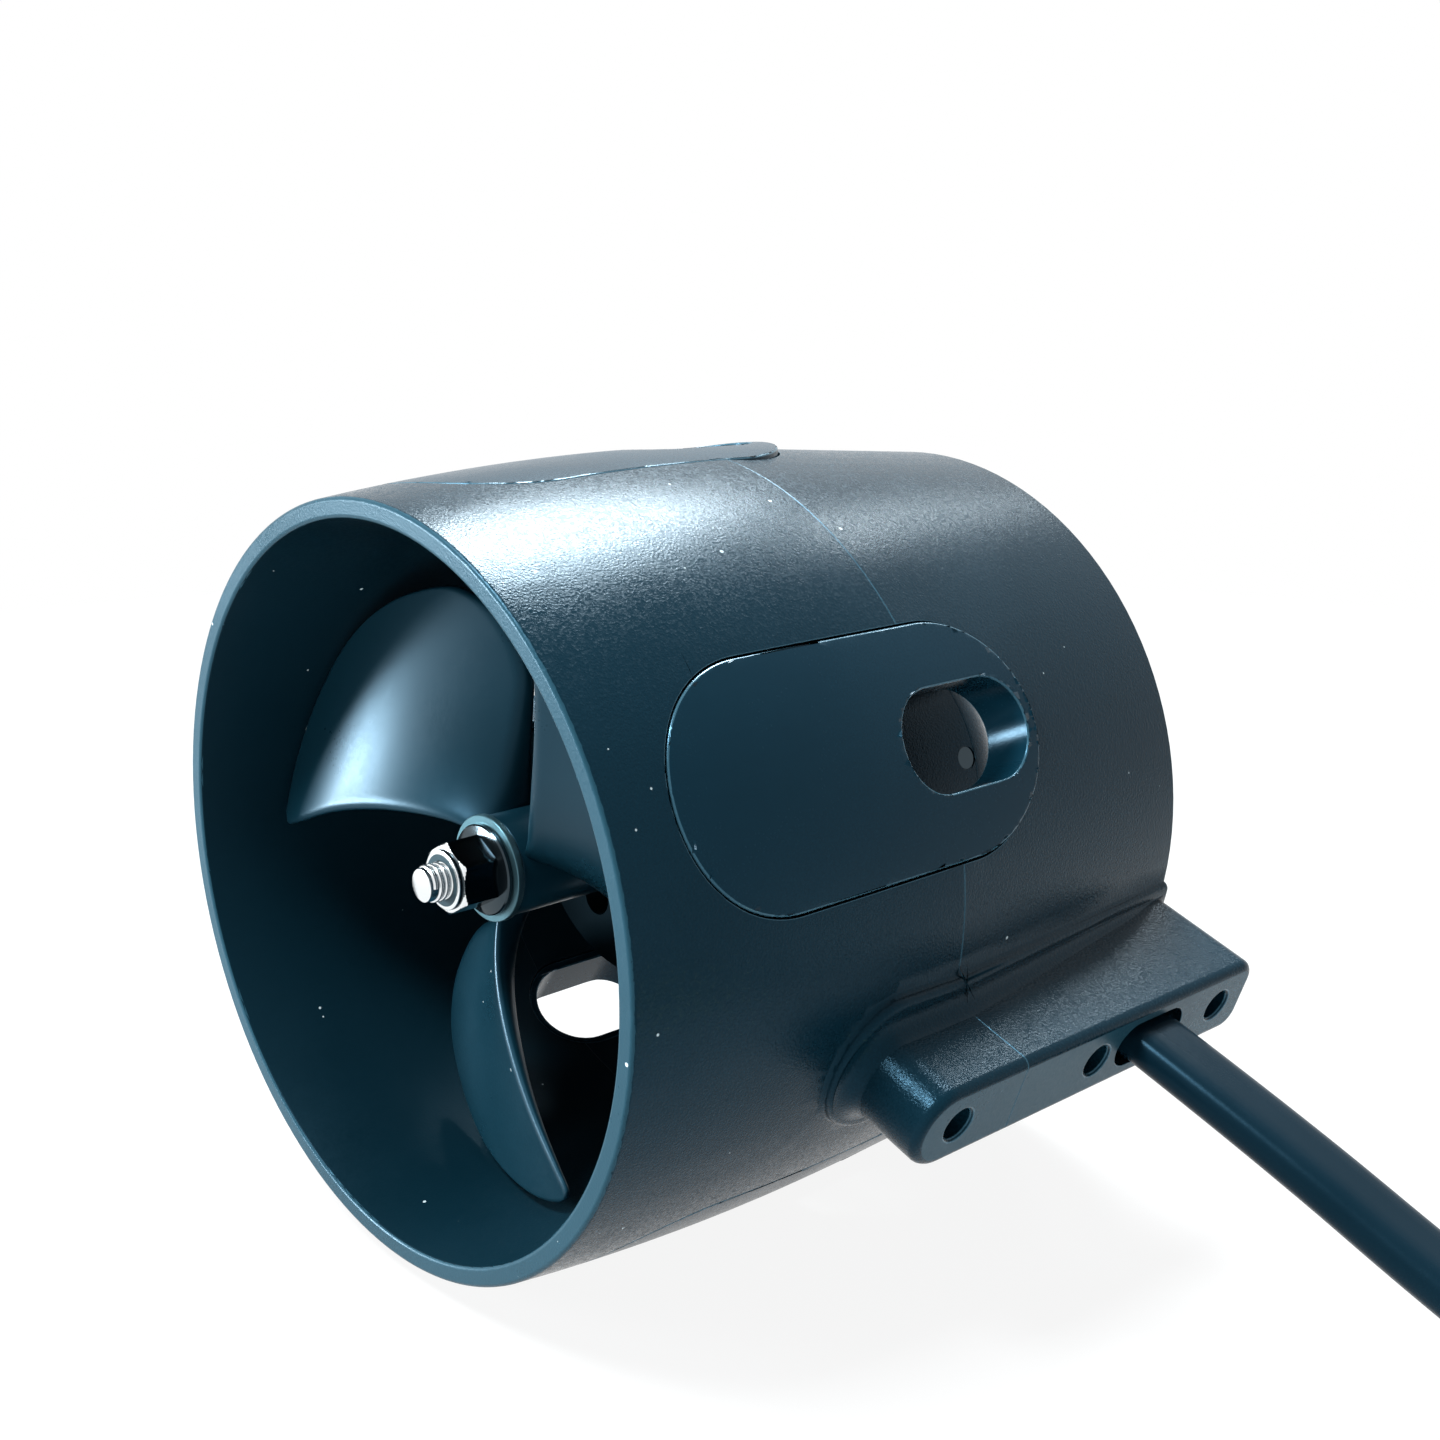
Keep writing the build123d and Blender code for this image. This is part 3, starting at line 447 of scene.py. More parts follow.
@dataclass(frozen=True)
class Finish:
    """One finish of the motor, with its grain, dust and gloss.

    Args:
        name: the material's name.
        colour: its base colour, linear.
        roughness: its mean roughness.
        metallic: how much it is metal.
        grain: the grain's depth as a bump, in millimetres.
        grain_scale: the grain's frequency, per metre.
        facets: how much single facets change the roughness.
        cloud: how much slow patches change the roughness.
        dust: how visible the specks are.
        dust_scale: the specks' frequency, per metre.
        specular: the specular level.
        anisotropy: how much turning marks stretch the gloss.
        shine: the tint of its reflections.
        index: its refractive index, low where the texture scatters grazing light.
    """

    name: str
    colour: tuple[float, float, float]
    roughness: float
    metallic: float = 0.0
    grain: float = 0.0
    grain_scale: float = 2600.0
    facets: float = 0.1
    cloud: float = 0.06
    dust: float = 0.0
    dust_scale: float = 240.0
    specular: float = 0.5
    anisotropy: float = 0.0
    shine: tuple[float, float, float] = (0.3, 0.68, 1.0)
    index: float = 1.25

    def build(self, groups: dict[str, bpy.types.NodeTree]) -> bpy.types.Material:
        """Builds the material.

        Args:
            groups: the shared shader groups by name.

        Returns:
            The material.
        """
        material = bpy.data.materials.new(self.name)
        material.use_nodes = True
        tree = material.node_tree
        tree.nodes.clear()
        sheet = NodeSheet(tree)
        output = sheet.add("ShaderNodeOutputMaterial")
        shader = sheet.add("ShaderNodeBsdfPrincipled")
        sheet.join(shader.outputs[0], output.inputs["Surface"])
        shader.inputs["Metallic"].default_value = self.metallic
        shader.inputs["Specular IOR Level"].default_value = self.specular
        shader.inputs["Anisotropic"].default_value = self.anisotropy
        shader.inputs["Specular Tint"].default_value = (*self.shine, 1)
        shader.inputs["IOR"].default_value = self.index
        where = sheet.add("ShaderNodeTexCoord").outputs["Object"]
        grain = sheet.add("ShaderNodeGroup", node_tree=groups["grain"])
        grain.inputs["Scale"].default_value = self.grain_scale
        grain.inputs["Facets"].default_value = self.facets
        sheet.join(where, grain.inputs["Position"])
        low, high = self.roughness - self.cloud, self.roughness + self.cloud
        patches = sheet.band(grain.outputs["Cloud"], 0.3, 0.7, low, high)
        faceted = sheet.math("SUBTRACT", patches, grain.outputs["Facet Mask"], clamp=True)
        sheet.join(faceted, shader.inputs["Roughness"])
        tint = sheet.add("ShaderNodeMix", data_type="RGBA")
        tint.inputs["A"].default_value = (*self.colour, 1)
        tint.inputs["B"].default_value = (*(min(1.0, c * 1.5 + 0.002) for c in self.colour), 1)
        sheet.join(grain.outputs["Cloud"], tint.inputs["Factor"])
        colour = tint.outputs["Result"]
        if self.dust:
            dust = sheet.add("ShaderNodeGroup", node_tree=groups["dust"])
            dust.inputs["Scale"].default_value = self.dust_scale
            sheet.join(where, dust.inputs["Position"])
            pale = sheet.add("ShaderNodeMix", data_type="RGBA")
            pale.inputs["B"].default_value = (*SPECK, 1)
            sheet.join(colour, pale.inputs["A"])
            sheet.join(sheet.math("MULTIPLY", dust.outputs["Specks"], self.dust), pale.inputs["Factor"])
            colour = pale.outputs["Result"]
        sheet.join(colour, shader.inputs["Base Color"])
        if self.grain:
            bump = sheet.add("ShaderNodeBump")
            bump.inputs["Distance"].default_value = self.grain * MM
            sheet.join(grain.outputs["Height"], bump.inputs["Height"])
            sheet.join(bump.outputs["Normal"], shader.inputs["Normal"])
        return material


SPECK = (0.45, 0.52, 0.55)
NEUTRAL = (1.0, 1.0, 1.0)
FINISHES = (
    Finish(
        "spark textured shell", (0.001, 0.0105, 0.018), 0.33,
        grain=0.045, facets=0.22, dust=0.9, specular=0.5,
    ),
    Finish(
        "fine moulded cover", (0.001, 0.012, 0.021), 0.3,
        grain=0.006, grain_scale=3600, dust=0.9, specular=0.55,
    ),
    # The water passage's wall: darker and less glossy than the shell, as painted shade.
    Finish(
        "painted shade inner wall", (0.0006, 0.008, 0.0135), 0.42, grain=0.01, facets=0.08, dust=0.9, specular=0.3,
    ),
    # Lighter colour and stronger gloss for the rim and the foot's end face: painted light and reflection.
    Finish("painted lit face", (0.009, 0.034, 0.05), 0.38, grain=0.02, facets=0.1, dust=0.9, specular=0.7),
    # A lighter colour for the rounds on sharp edges: a painted highlight.
    Finish("painted edge highlight", (0.018, 0.05, 0.07), 0.3, specular=0.8, index=1.4),
    Finish(
        "polished propeller", (0.001, 0.013, 0.0215), 0.35, grain=0.002, facets=0.05, dust=0.9, index=1.38,
    ),
    Finish(
        "bright steel", (0.62, 0.64, 0.65), 0.2,
        metallic=1.0, grain=0.002, facets=0.05, anisotropy=0.3, shine=NEUTRAL,
    ),
    Finish(
        "black oxide steel", (0.03, 0.042, 0.05), 0.14,
        metallic=1.0, grain=0.002, facets=0.03, shine=NEUTRAL,
    ),
    Finish(
        "dull washer", (0.055, 0.115, 0.14), 0.42, metallic=0.9, grain=0.004, facets=0.08, shine=NEUTRAL,
    ),
    Finish("dark nylon", (0.02, 0.035, 0.042), 0.4, grain=0.003),
    Finish("coated can", (0.0012, 0.0055, 0.0085), 0.5, grain=0.01, specular=0.3),
    Finish("nickel plate", (0.55, 0.54, 0.52), 0.25, metallic=1.0, grain=0.002, shine=NEUTRAL),
    Finish("varnished core", (0.05, 0.05, 0.055), 0.45, metallic=0.6, grain=0.01),
    Finish("enamelled copper", (0.45, 0.13, 0.04), 0.3, metallic=0.9, grain=0.01),
    Finish("anodised base", (0.03, 0.036, 0.042), 0.38, metallic=0.8, grain=0.006),
    Finish("bearing acetal", (0.6, 0.58, 0.52), 0.45, grain=0.004, shine=NEUTRAL, index=1.45),
    Finish(
        "cable sheath", (0.0008, 0.007, 0.0125), 0.24, grain=0.003, facets=0.04, dust=0.8, specular=0.4,
    ),
    Finish("potting rubber", (0.0012, 0.004, 0.006), 0.6, grain=0.01, specular=0.3),
    Finish("lead sheath", (0.005, 0.005, 0.006), 0.42, grain=0.004),
    Finish("gold plate", (0.8, 0.55, 0.2), 0.22, metallic=1.0, grain=0.002, shine=NEUTRAL),
)

NODE_FINISH = {
    "spark textured shell": ["front_duct", "rear_duct", "motor_carrier", "tail_cone"],
    "fine moulded cover": ["cover_right", "cover_top", "cover_left", "cover_lower_left", "cover_bottom"],
    "polished propeller": ["propeller"],
    "bright steel": ["shell_screws", "motor_screws", "grub_screw", "drive_pin", "shaft_clip", "shaft"],
    "black oxide steel": ["lock_nut", "tail_screws"],
    "dull washer": ["prop_washer"],
    "dark nylon": ["nut_insert"],
    "coated can": ["rotor_bell", "flux_ring"],
    "nickel plate": ["magnets"],
    "varnished core": ["stator_core"],
    "enamelled copper": ["stator_coils"],
    "anodised base": ["motor_base"],
    "bearing acetal": ["front_bush", "rear_bush", "thrust_washer"],
    "cable sheath": ["cable", "cable_coil"],
    "potting rubber": ["cable_seal", "cable_sleeve"],
    "lead sheath": ["phase_leads", "tail_lead_a", "tail_lead_b", "tail_lead_c"],
    "gold plate": ["bullet_plug_a", "bullet_plug_b", "bullet_plug_c"],
}


def dress(piece: bpy.types.Object, material: bpy.types.Material) -> None:
    """Gives a piece one material in all its slots.

    Args:
        piece: the piece.
        material: the material.
    """
    if not piece.data.materials:
        piece.data.materials.append(material)
    for index in range(len(piece.data.materials)):
        piece.data.materials[index] = material


@dataclass
class Workshop:
    """What every sub-assembly is built with.

    Args:
        frame: where the shaft is.
        materials: the finishes by name.
        slots: each CAD node's record slot; not used.
    """

    frame: ShaftFrame
    materials: dict[str, bpy.types.Material]
    slots: dict[str, str]

    def fit(self, piece: bpy.types.Object, body: Body, finish: str, *nodes: str) -> bpy.types.Object:
        """Dresses a finished piece, rides it and lets it stand for CAD nodes.

        Args:
            piece: the finished piece.
            body: the body that it rides on.
            finish: the finish's name.
            nodes: the CAD nodes that it replaces.

        Returns:
            The piece.
        """
        dress(piece, self.materials[finish])
        return self.mount(piece, body, *nodes)

    def mount(self, piece: bpy.types.Object, body: Body, *nodes: str) -> bpy.types.Object:
        """Rides a dressed piece and lets it stand for CAD nodes.

        Args:
            piece: the dressed piece.
            body: the body that it rides on.
            nodes: the CAD nodes that it replaces.

        Returns:
            The piece.
        """
        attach(piece, body.value)
        if nodes:
            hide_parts(*nodes)
        log.info("%s: %d faces", piece.name, len(piece.data.polygons))
        return piece


@dataclass
class DuctShells:
    """The moulded shells and covers, with softened edges.

    Args:
        rounds: the edge round of each node, in millimetres.
        bore_limit: the radius inside which a wall is the water passage, in millimetres.
        rim_depth: the depth of the rim's flat face.
        face_reach: the radius outside which a wall is the foot's end face.
        foot_angle: the foot's direction, in degrees.
    """

    bore_limit: float = 55.6
    rim_depth: float = 0.8
    face_reach: float = 75.0
    foot_angle: float = FOOT_ANGLE

    rounds: dict[str, float] = field(
        default_factory=lambda: {
            "front_duct": 0.14,
            "rear_duct": 0.14,
            "cover_right": 0.28,
            "cover_top": 0.28,
            "cover_left": 0.28,
            "cover_lower_left": 0.28,
            "cover_bottom": 0.28,
            "tail_cone": 0.2,
        }
    )

    def build(self, shop: Workshop) -> None:
        """Softens each shell and cover and lets it replace its node.

        Args:
            shop: the workshop.
        """
        for node, width in self.rounds.items():
            finish = "fine moulded cover" if node.startswith("cover") else "spark textured shell"
            # The shell's rounds are painted lighter as a painted highlight.
            shell = softened(node, width, shop.materials[finish], shop.materials["painted edge highlight"])
            if node in ("front_duct", "rear_duct"):
                self.pick_faces(shop, shell)
            shop.mount(shell, Body.HOUSING, node)

    def pick_faces(self, shop: Workshop, shell: bpy.types.Object) -> None:
        """Gives the water passage a darker finish as painted shade, and the rim and the foot's end face a
        lighter one as painted light.

        Args:
            shop: the workshop.
            shell: the finished shell.
        """
        shell.data.materials.append(shop.materials["painted shade inner wall"])
        shell.data.materials.append(shop.materials["painted lit face"])
        turn = math.radians(self.foot_angle)
        foot_out = Vector((math.cos(turn), 0, math.sin(turn)))
        for face in shell.data.polygons:
            out = face.center - shop.frame.hub
            station, out.y = out.y, 0
            # The water passage's faces take the darker finish, painted shade.
            if out.length < self.bore_limit * MM and face.normal.dot(out) < 0:
                face.material_index = ShellFace.PASSAGE
            # The rim and the foot's end face take the lighter finish, painted light.
            on_rim = station < self.rim_depth * MM and face.normal.y < -0.5
            if on_rim or (face.normal.dot(foot_out) > 0.99 and out.dot(foot_out) > self.face_reach * MM):
                face.material_index = ShellFace.PAINTED_LIT_FACE


@dataclass
class FootBlend:
    """The hollow rounds at the roots of the foot and of its pad.

    Args:
        foot_angle: the foot's direction, in degrees.
        nose: the station where the foot's straight sides start, and half its thickness.
        pad_nose: the same for the pad.
        pad_tail: half the pad's width at the tail.
        tail: the station of the duct's rear end.
        end: the station where the rounds run out.
        crown_radius: the front shell's greatest radius.
        crown_station: where that is.
        rim_radius: the front rim's radius.
        rear_radius: the rear end's radius.
        seam_station: where the two shells meet.
        rise: how far the pad stands over the duct, at the front and at the tail.
        pad_round: the round on the pad's edge.
        least_round: the least radius of a root's round.
        foot_root: the round at the foot's root.
        pad_root: the round at the pad's root.
        run_out: over how much length the rounds shrink to the tail.
        last_bit: what is left of them beyond their end.
        sunk: how far their edges lie inside the walls.
        side_steps: the steps along a side.
        nose_steps: the steps round the nose.
        bend_steps: the steps across a round.
    """

    foot_angle: float = FOOT_ANGLE
    nose: Point = (44.4, 6.6)
    pad_nose: Point = (46.0, 11.2)
    pad_tail: float = 8.5
    tail: float = 116.5
    end: float = 112.6
    crown_radius: float = 61.0
    crown_station: float = 49.7
    rim_radius: float = 58.0
    rear_radius: float = 56.2
    seam_station: float = 58.8
    rise: Point = (1.9, 1.0)
    pad_round: float = 1.2
    least_round: float = 0.35
    foot_root: float = 2.8
    pad_root: float = 0.65
    run_out: float = 8.0
    last_bit: float = 0.3
    sunk: float = 0.04
    side_steps: int = 30
    nose_steps: int = 32
    bend_steps: int = 8

    def duct_radius(self, station: float, rise: Point) -> float:
        """Finds the duct's outer radius.

        Args:
            station: the distance behind the front rim.
            rise: what stands over the duct, at the front and at the tail.

        Returns:
            The radius with the rise, in millimetres.
        """
        drop = self.crown_radius - self.rim_radius
        arc = (self.crown_station**2 + drop**2) / (2 * drop)

        def front(place: float) -> float:
            """Reads the arc of the front shell."""
            return self.crown_radius - arc + math.sqrt(arc**2 - (place - self.crown_station) ** 2)

        if station <= self.seam_station:
            return front(station) + rise[0]
        share = (station - self.seam_station) / (self.tail - self.seam_station)
        seam = front(self.seam_station) + rise[0]
        return seam + (self.rear_radius + rise[1] - seam) * share

    def outline(self, nose: Point, tail_half: float) -> list[tuple[float, float, float, float]]:
        """Lists points round a root, from one side to the other.

        Args:
            nose: where the straight sides start, and half their width.
            tail_half: half the width at the tail.

        Returns:
            The station and side of each point, and its outward direction in the same two.
        """
        start, half = nose
        side = [start + (self.end - start) * k / self.side_steps for k in range(self.side_steps + 1)]
        slope = (tail_half - half) / (self.tail - start)
        points = [(s, half + slope * (s - start), 0.0, 1.0) for s in reversed(side)]
        for step in range(1, self.nose_steps):
            turn = math.radians(90 + 180 * step / self.nose_steps)
            ahead, aside = math.cos(turn), math.sin(turn)
            points.append((start + half * ahead, half * aside, ahead, aside))
        points += [(s, -half - slope * (s - start), 0.0, -1.0) for s in side]
        return points

    def pad_room(self, station: float) -> float:
        """Finds how much of the pad's top is free beside the foot.

        Args:
            station: the distance behind the front rim.

        Returns:
            The free width, in millimetres.
        """
        start, half = self.pad_nose
        share = max(0.0, (station - start) / (self.tail - start))
        free = half + (self.pad_tail - half) * share - self.pad_round - self.nose[1]
        return max(self.least_round, free)

    def strip(
        self,
        shop: Workshop,
        name: str,
        nose: Point,
        tail_half: float,
        radius: float,
        rise: Point,
        room: Callable[[float], float],
    ) -> None:
        """Builds one hollow round along a root.

        Args:
            shop: the workshop.
            name: the piece's name.
            nose: where the straight sides start, and half their width.
            tail_half: half the width at the tail.
            radius: the round's radius, in millimetres.
            rise: how far the surface below stands over the duct, at the front and at the tail.
            room: the most that the radius can be at a station.
        """
        turn = math.radians(self.foot_angle)
        out = Vector((math.cos(turn), 0, math.sin(turn)))
        side = Vector((-math.sin(turn), 0, math.cos(turn)))
        vertices: list[Vector] = []
        steps = self.bend_steps
        points = self.outline(nose, tail_half)
        for s, lateral, to_s, to_lateral in points:
            small = min(radius, room(s)) * min(1.0, (self.end + self.last_bit - s) / self.run_out)
            for k in range(steps + 1):
                bend = math.pi / 2 * k / steps
                reach = small - small * math.sin(bend) - self.sunk
                height = small - small * math.cos(bend) - self.sunk
                across, along = lateral + to_lateral * reach, s + to_s * reach
                base = math.sqrt(self.duct_radius(along, rise) ** 2 - across**2)
                point = out * (base + height) + side * across
                vertices.append(shop.frame.hub + Vector((point.x, along, point.z)) * MM)
        faces = []
        for row in range(len(points) - 1):
            for k in range(steps):
                near, far = row * (steps + 1) + k, (row + 1) * (steps + 1) + k
                faces.append((near, near + 1, far + 1, far))
        strip = mesh_object(name, vertices, faces)
        if strip.data.polygons[len(faces) // 2].normal.dot(out) < 0:
            strip.data.flip_normals()
        shop.fit(strip, Body.HOUSING, "spark textured shell")

    def build(self, shop: Workshop) -> None:
        """Builds both rounds, the foot's on the pad and the pad's on the bare duct.

        Args:
            shop: the workshop.
        """
        self.strip(
            shop, "foot_root_round", self.nose, self.nose[1], self.foot_root, self.rise, self.pad_room
        )
        bare, free = (0.0, 0.0), self.pad_round
        self.strip(
            shop, "pad_root_round", self.pad_nose, self.pad_tail, self.pad_root, bare, lambda station: free
        )


@dataclass
class Propeller:
    """Three helical blades with rounded edges, on a plain hub.

    Args:
        lead_angles: the angle of each blade's reference line, in degrees.
        lead_station: the front face's station on that line, in millimetres.
        advance: how far the front face goes back for each degree, in millimetres.
        root_radius: where the blades start, inside the hub.
        tip_radius: where they end.
        root_thickness: their thickness at the root.
        tip_thickness: their thickness at the tip.
        hub_radius: the hub's radius.
        hub_span: the stations of the hub's ends.
        hub_round: the round on the hub's edges.
        leading: the leading edge, as radius and turn from the reference line.
        trailing: the trailing edge, in the same way.
        rows: the steps from root to tip.
        columns: the steps from edge to edge.
    """

    lead_angles: tuple[float, ...] = (179.0, 299.0, 59.0)
    lead_station: float = 13.3
    advance: float = 0.2262
    root_radius: float = 7.0
    tip_radius: float = 50.4
    root_thickness: float = 3.6
    tip_thickness: float = 1.3
    hub_radius: float = 7.9
    hub_span: Point = (20.2, 38.5)
    hub_round: float = 0.5
    leading: list[Point] = field(
        default_factory=lambda: [
            (6.0, -29.0), (8.7, -26.0), (11.2, -23.0), (16.0, -17.0), (22.2, -11.0), (29.1, -6.0),
            (36.8, -1.5), (46.0, 3.4), (49.0, 4.4), (50.0, 2.6), (50.4, -2.0),
        ]
    )
    trailing: list[Point] = field(
        default_factory=lambda: [
            (6.4, -52.0), (9.5, -61.0), (15.2, -69.0), (22.7, -75.5), (28.0, -78.0), (36.0, -74.0),
            (44.0, -64.0), (47.0, -54.0), (49.2, -43.0), (50.1, -34.0), (50.4, -28.0),
        ]
    )
    rows: int = 44
    columns: int = 44

    @staticmethod
    def roundness(share: float) -> float:
        """Reads a quarter circle, from 0 at an edge to 1 where the blade is as thick as it gets."""
        return math.sqrt(max(0.0, 1 - (1 - min(1.0, share)) ** 2))

    def blade_point(
        self, frame: ShaftFrame, lead_angle: float, radius: float, across: float, side: float
    ) -> Vector:
        """Finds a point of a blade's skin.

        Args:
            frame: where the shaft is.
            lead_angle: the blade's reference angle.
            radius: the distance from the shaft, in millimetres.
            across: 0 at the leading edge and 1 at the trailing edge.
            side: 0 on the front face and 1 on the back face.

        Returns:
            The point, in the row frame.
        """
        lead = smooth_curve(self.leading, radius)
        trail = smooth_curve(self.trailing, radius)
        turn = lead + (trail - lead) * across
        share = (radius - self.root_radius) / (self.tip_radius - self.root_radius)
        thickness = self.root_thickness + (self.tip_thickness - self.root_thickness) * share
        pitch = math.atan2(self.advance * 180 / math.pi, radius)
        axial = thickness / math.cos(pitch) * min(1.0, 1.25 - 0.5 * share)
        chord = max(1.0, abs(trail - lead) * math.pi / 180 * radius / math.cos(pitch))
        edge = min(across, 1 - across) * chord / (thickness * 0.9)
        tip = max(0.0, (self.tip_radius - radius)) / (thickness * 0.5)
        fullness = self.roundness(edge) * self.roundness(tip)
        front = self.lead_station - self.advance * turn
        station = front + axial * (0.5 + (side - 0.5) * fullness)
        return frame.place(station, lead_angle + turn, radius)

    def radii(self) -> list[float]:
        """Lists the blade's rows, closer together towards the rounded tip."""
        spread = [1 - (1 - row / self.rows) ** 1.7 for row in range(self.rows + 1)]
        return [self.root_radius + (self.tip_radius - self.root_radius) * share for share in spread]

    def blade(self, frame: ShaftFrame, lead_angle: float) -> tuple[list[Vector], list[tuple[int, ...]]]:
        """Builds the closed skin of one blade.

        Args:
            frame: where the shaft is.
            lead_angle: the blade's reference angle.

        Returns:
            Its corners and faces.
        """
        vertices: list[Vector] = []
        turns = [math.pi * column / self.columns for column in range(self.columns + 1)]
        shares = [0.5 - 0.5 * math.cos(turn) for turn in turns]
        ring = [(share, 0.0) for share in shares] + [(share, 1.0) for share in reversed(shares[1:-1])]
        rows = self.radii()
        for radius in rows:
            vertices += [self.blade_point(frame, lead_angle, radius, across, side) for across, side in ring]
        count = len(ring)
        faces = tube_faces(len(rows), count)
        faces.append(tuple(range(count)))
        return vertices, faces

    def build(self, shop: Workshop) -> None:
        """Builds the three blades as one piece, and the hub.

        Args:
            shop: the workshop.
        """
        vertices: list[Vector] = []
        faces: list[tuple[int, ...]] = []
        for lead_angle in self.lead_angles:
            more, patches = self.blade(shop.frame, lead_angle)
            base = len(vertices)
            vertices += more
            faces += [tuple(base + corner for corner in patch) for patch in patches]
        blades = mesh_object("propeller_blades", vertices, faces)
        start, end = self.hub_span
        round_off = self.hub_round
        hub = lathe(
            "propeller_hub",
            shop.frame,
            [
                (start, 3.03), (start, self.hub_radius - round_off), (start + 0.2, self.hub_radius - 0.15),
                (start + round_off, self.hub_radius), (end - round_off, self.hub_radius),
                (end, self.hub_radius - round_off), (end, 3.03),
            ],
        )
        keep_sharp(blades, 60)
        shop.fit(blades, Body.ROTOR, "polished propeller", "propeller")
        shop.fit(hub, Body.ROTOR, "polished propeller")


def thread_tree() -> bpy.types.NodeTree:
    """Builds the tree that winds a rounded thread crest about the shaft.

    Returns:
        A geometry node tree with named inputs for radius, pitch, turns, crest size, place and material.
    """
    tree = bpy.data.node_groups.new("thread crest", "GeometryNodeTree")
    tree.interface.new_socket("Geometry", in_out="OUTPUT", socket_type="NodeSocketGeometry")
    for name, value in (("Radius", 0.0029), ("Pitch", 0.001), ("Turns", 4.0), ("Crest", 0.0003)):
        socket = tree.interface.new_socket(name, in_out="INPUT", socket_type="NodeSocketFloat")
        socket.default_value = value
    tree.interface.new_socket("Start", in_out="INPUT", socket_type="NodeSocketVector")
    tree.interface.new_socket("Finish", in_out="INPUT", socket_type="NodeSocketMaterial")
    sheet = NodeSheet(tree)
    start, end = sheet.add("NodeGroupInput"), sheet.add("NodeGroupOutput")
    spiral = sheet.add("GeometryNodeCurveSpiral")
    spiral.inputs["Resolution"].default_value = 48
    sheet.join(start.outputs["Turns"], spiral.inputs["Rotations"])
    sheet.join(start.outputs["Radius"], spiral.inputs["Start Radius"])
    sheet.join(start.outputs["Radius"], spiral.inputs["End Radius"])
    height = sheet.math("MULTIPLY", start.outputs["Turns"], start.outputs["Pitch"])
    sheet.join(height, spiral.inputs["Height"])
    crest = sheet.add("GeometryNodeCurvePrimitiveCircle")
    crest.inputs["Resolution"].default_value = 8
    sheet.join(start.outputs["Crest"], crest.inputs["Radius"])
    wound = sheet.add("GeometryNodeCurveToMesh")
    sheet.join(spiral.outputs[0], wound.inputs["Curve"])
    sheet.join(crest.outputs["Curve"], wound.inputs["Profile Curve"])
    wound.inputs["Fill Caps"].default_value = True
    laid = sheet.add("GeometryNodeTransform")
    laid.inputs["Rotation"].default_value = (-math.pi / 2, 0, 0)
    sheet.join(wound.outputs["Mesh"], laid.inputs["Geometry"])
    sheet.join(start.outputs["Start"], laid.inputs["Translation"])
    realised = sheet.add("GeometryNodeRealizeInstances")
    sheet.join(laid.outputs["Geometry"], realised.inputs["Geometry"])
    painted = sheet.add("GeometryNodeSetMaterial")
    sheet.join(realised.outputs["Geometry"], painted.inputs["Geometry"])
    sheet.join(start.outputs["Finish"], painted.inputs["Material"])
    sheet.join(painted.outputs["Geometry"], end.inputs["Geometry"])
    return tree


def run_tree(name: str, tree: bpy.types.NodeTree, values: dict[str, object]) -> bpy.types.Object:
    """Runs a geometry tree once and keeps its result as a plain mesh.

    Args:
        name: the piece's name.
        tree: the geometry node tree.
        values: its inputs by name.

    Returns:
        The plain piece.
    """
    piece = bpy.data.objects.new(name, bpy.data.meshes.new(name))
    bpy.context.scene.collection.objects.link(piece)
    modifier = piece.modifiers.new("build", "NODES")
    modifier.node_group = tree
    for item in tree.interface.items_tree:
        if item.item_type == "SOCKET" and item.in_out == "INPUT" and item.name in values:
            modifier[item.identifier] = values[item.name]
    settle(piece)
    piece.data.shade_smooth()
    return piece


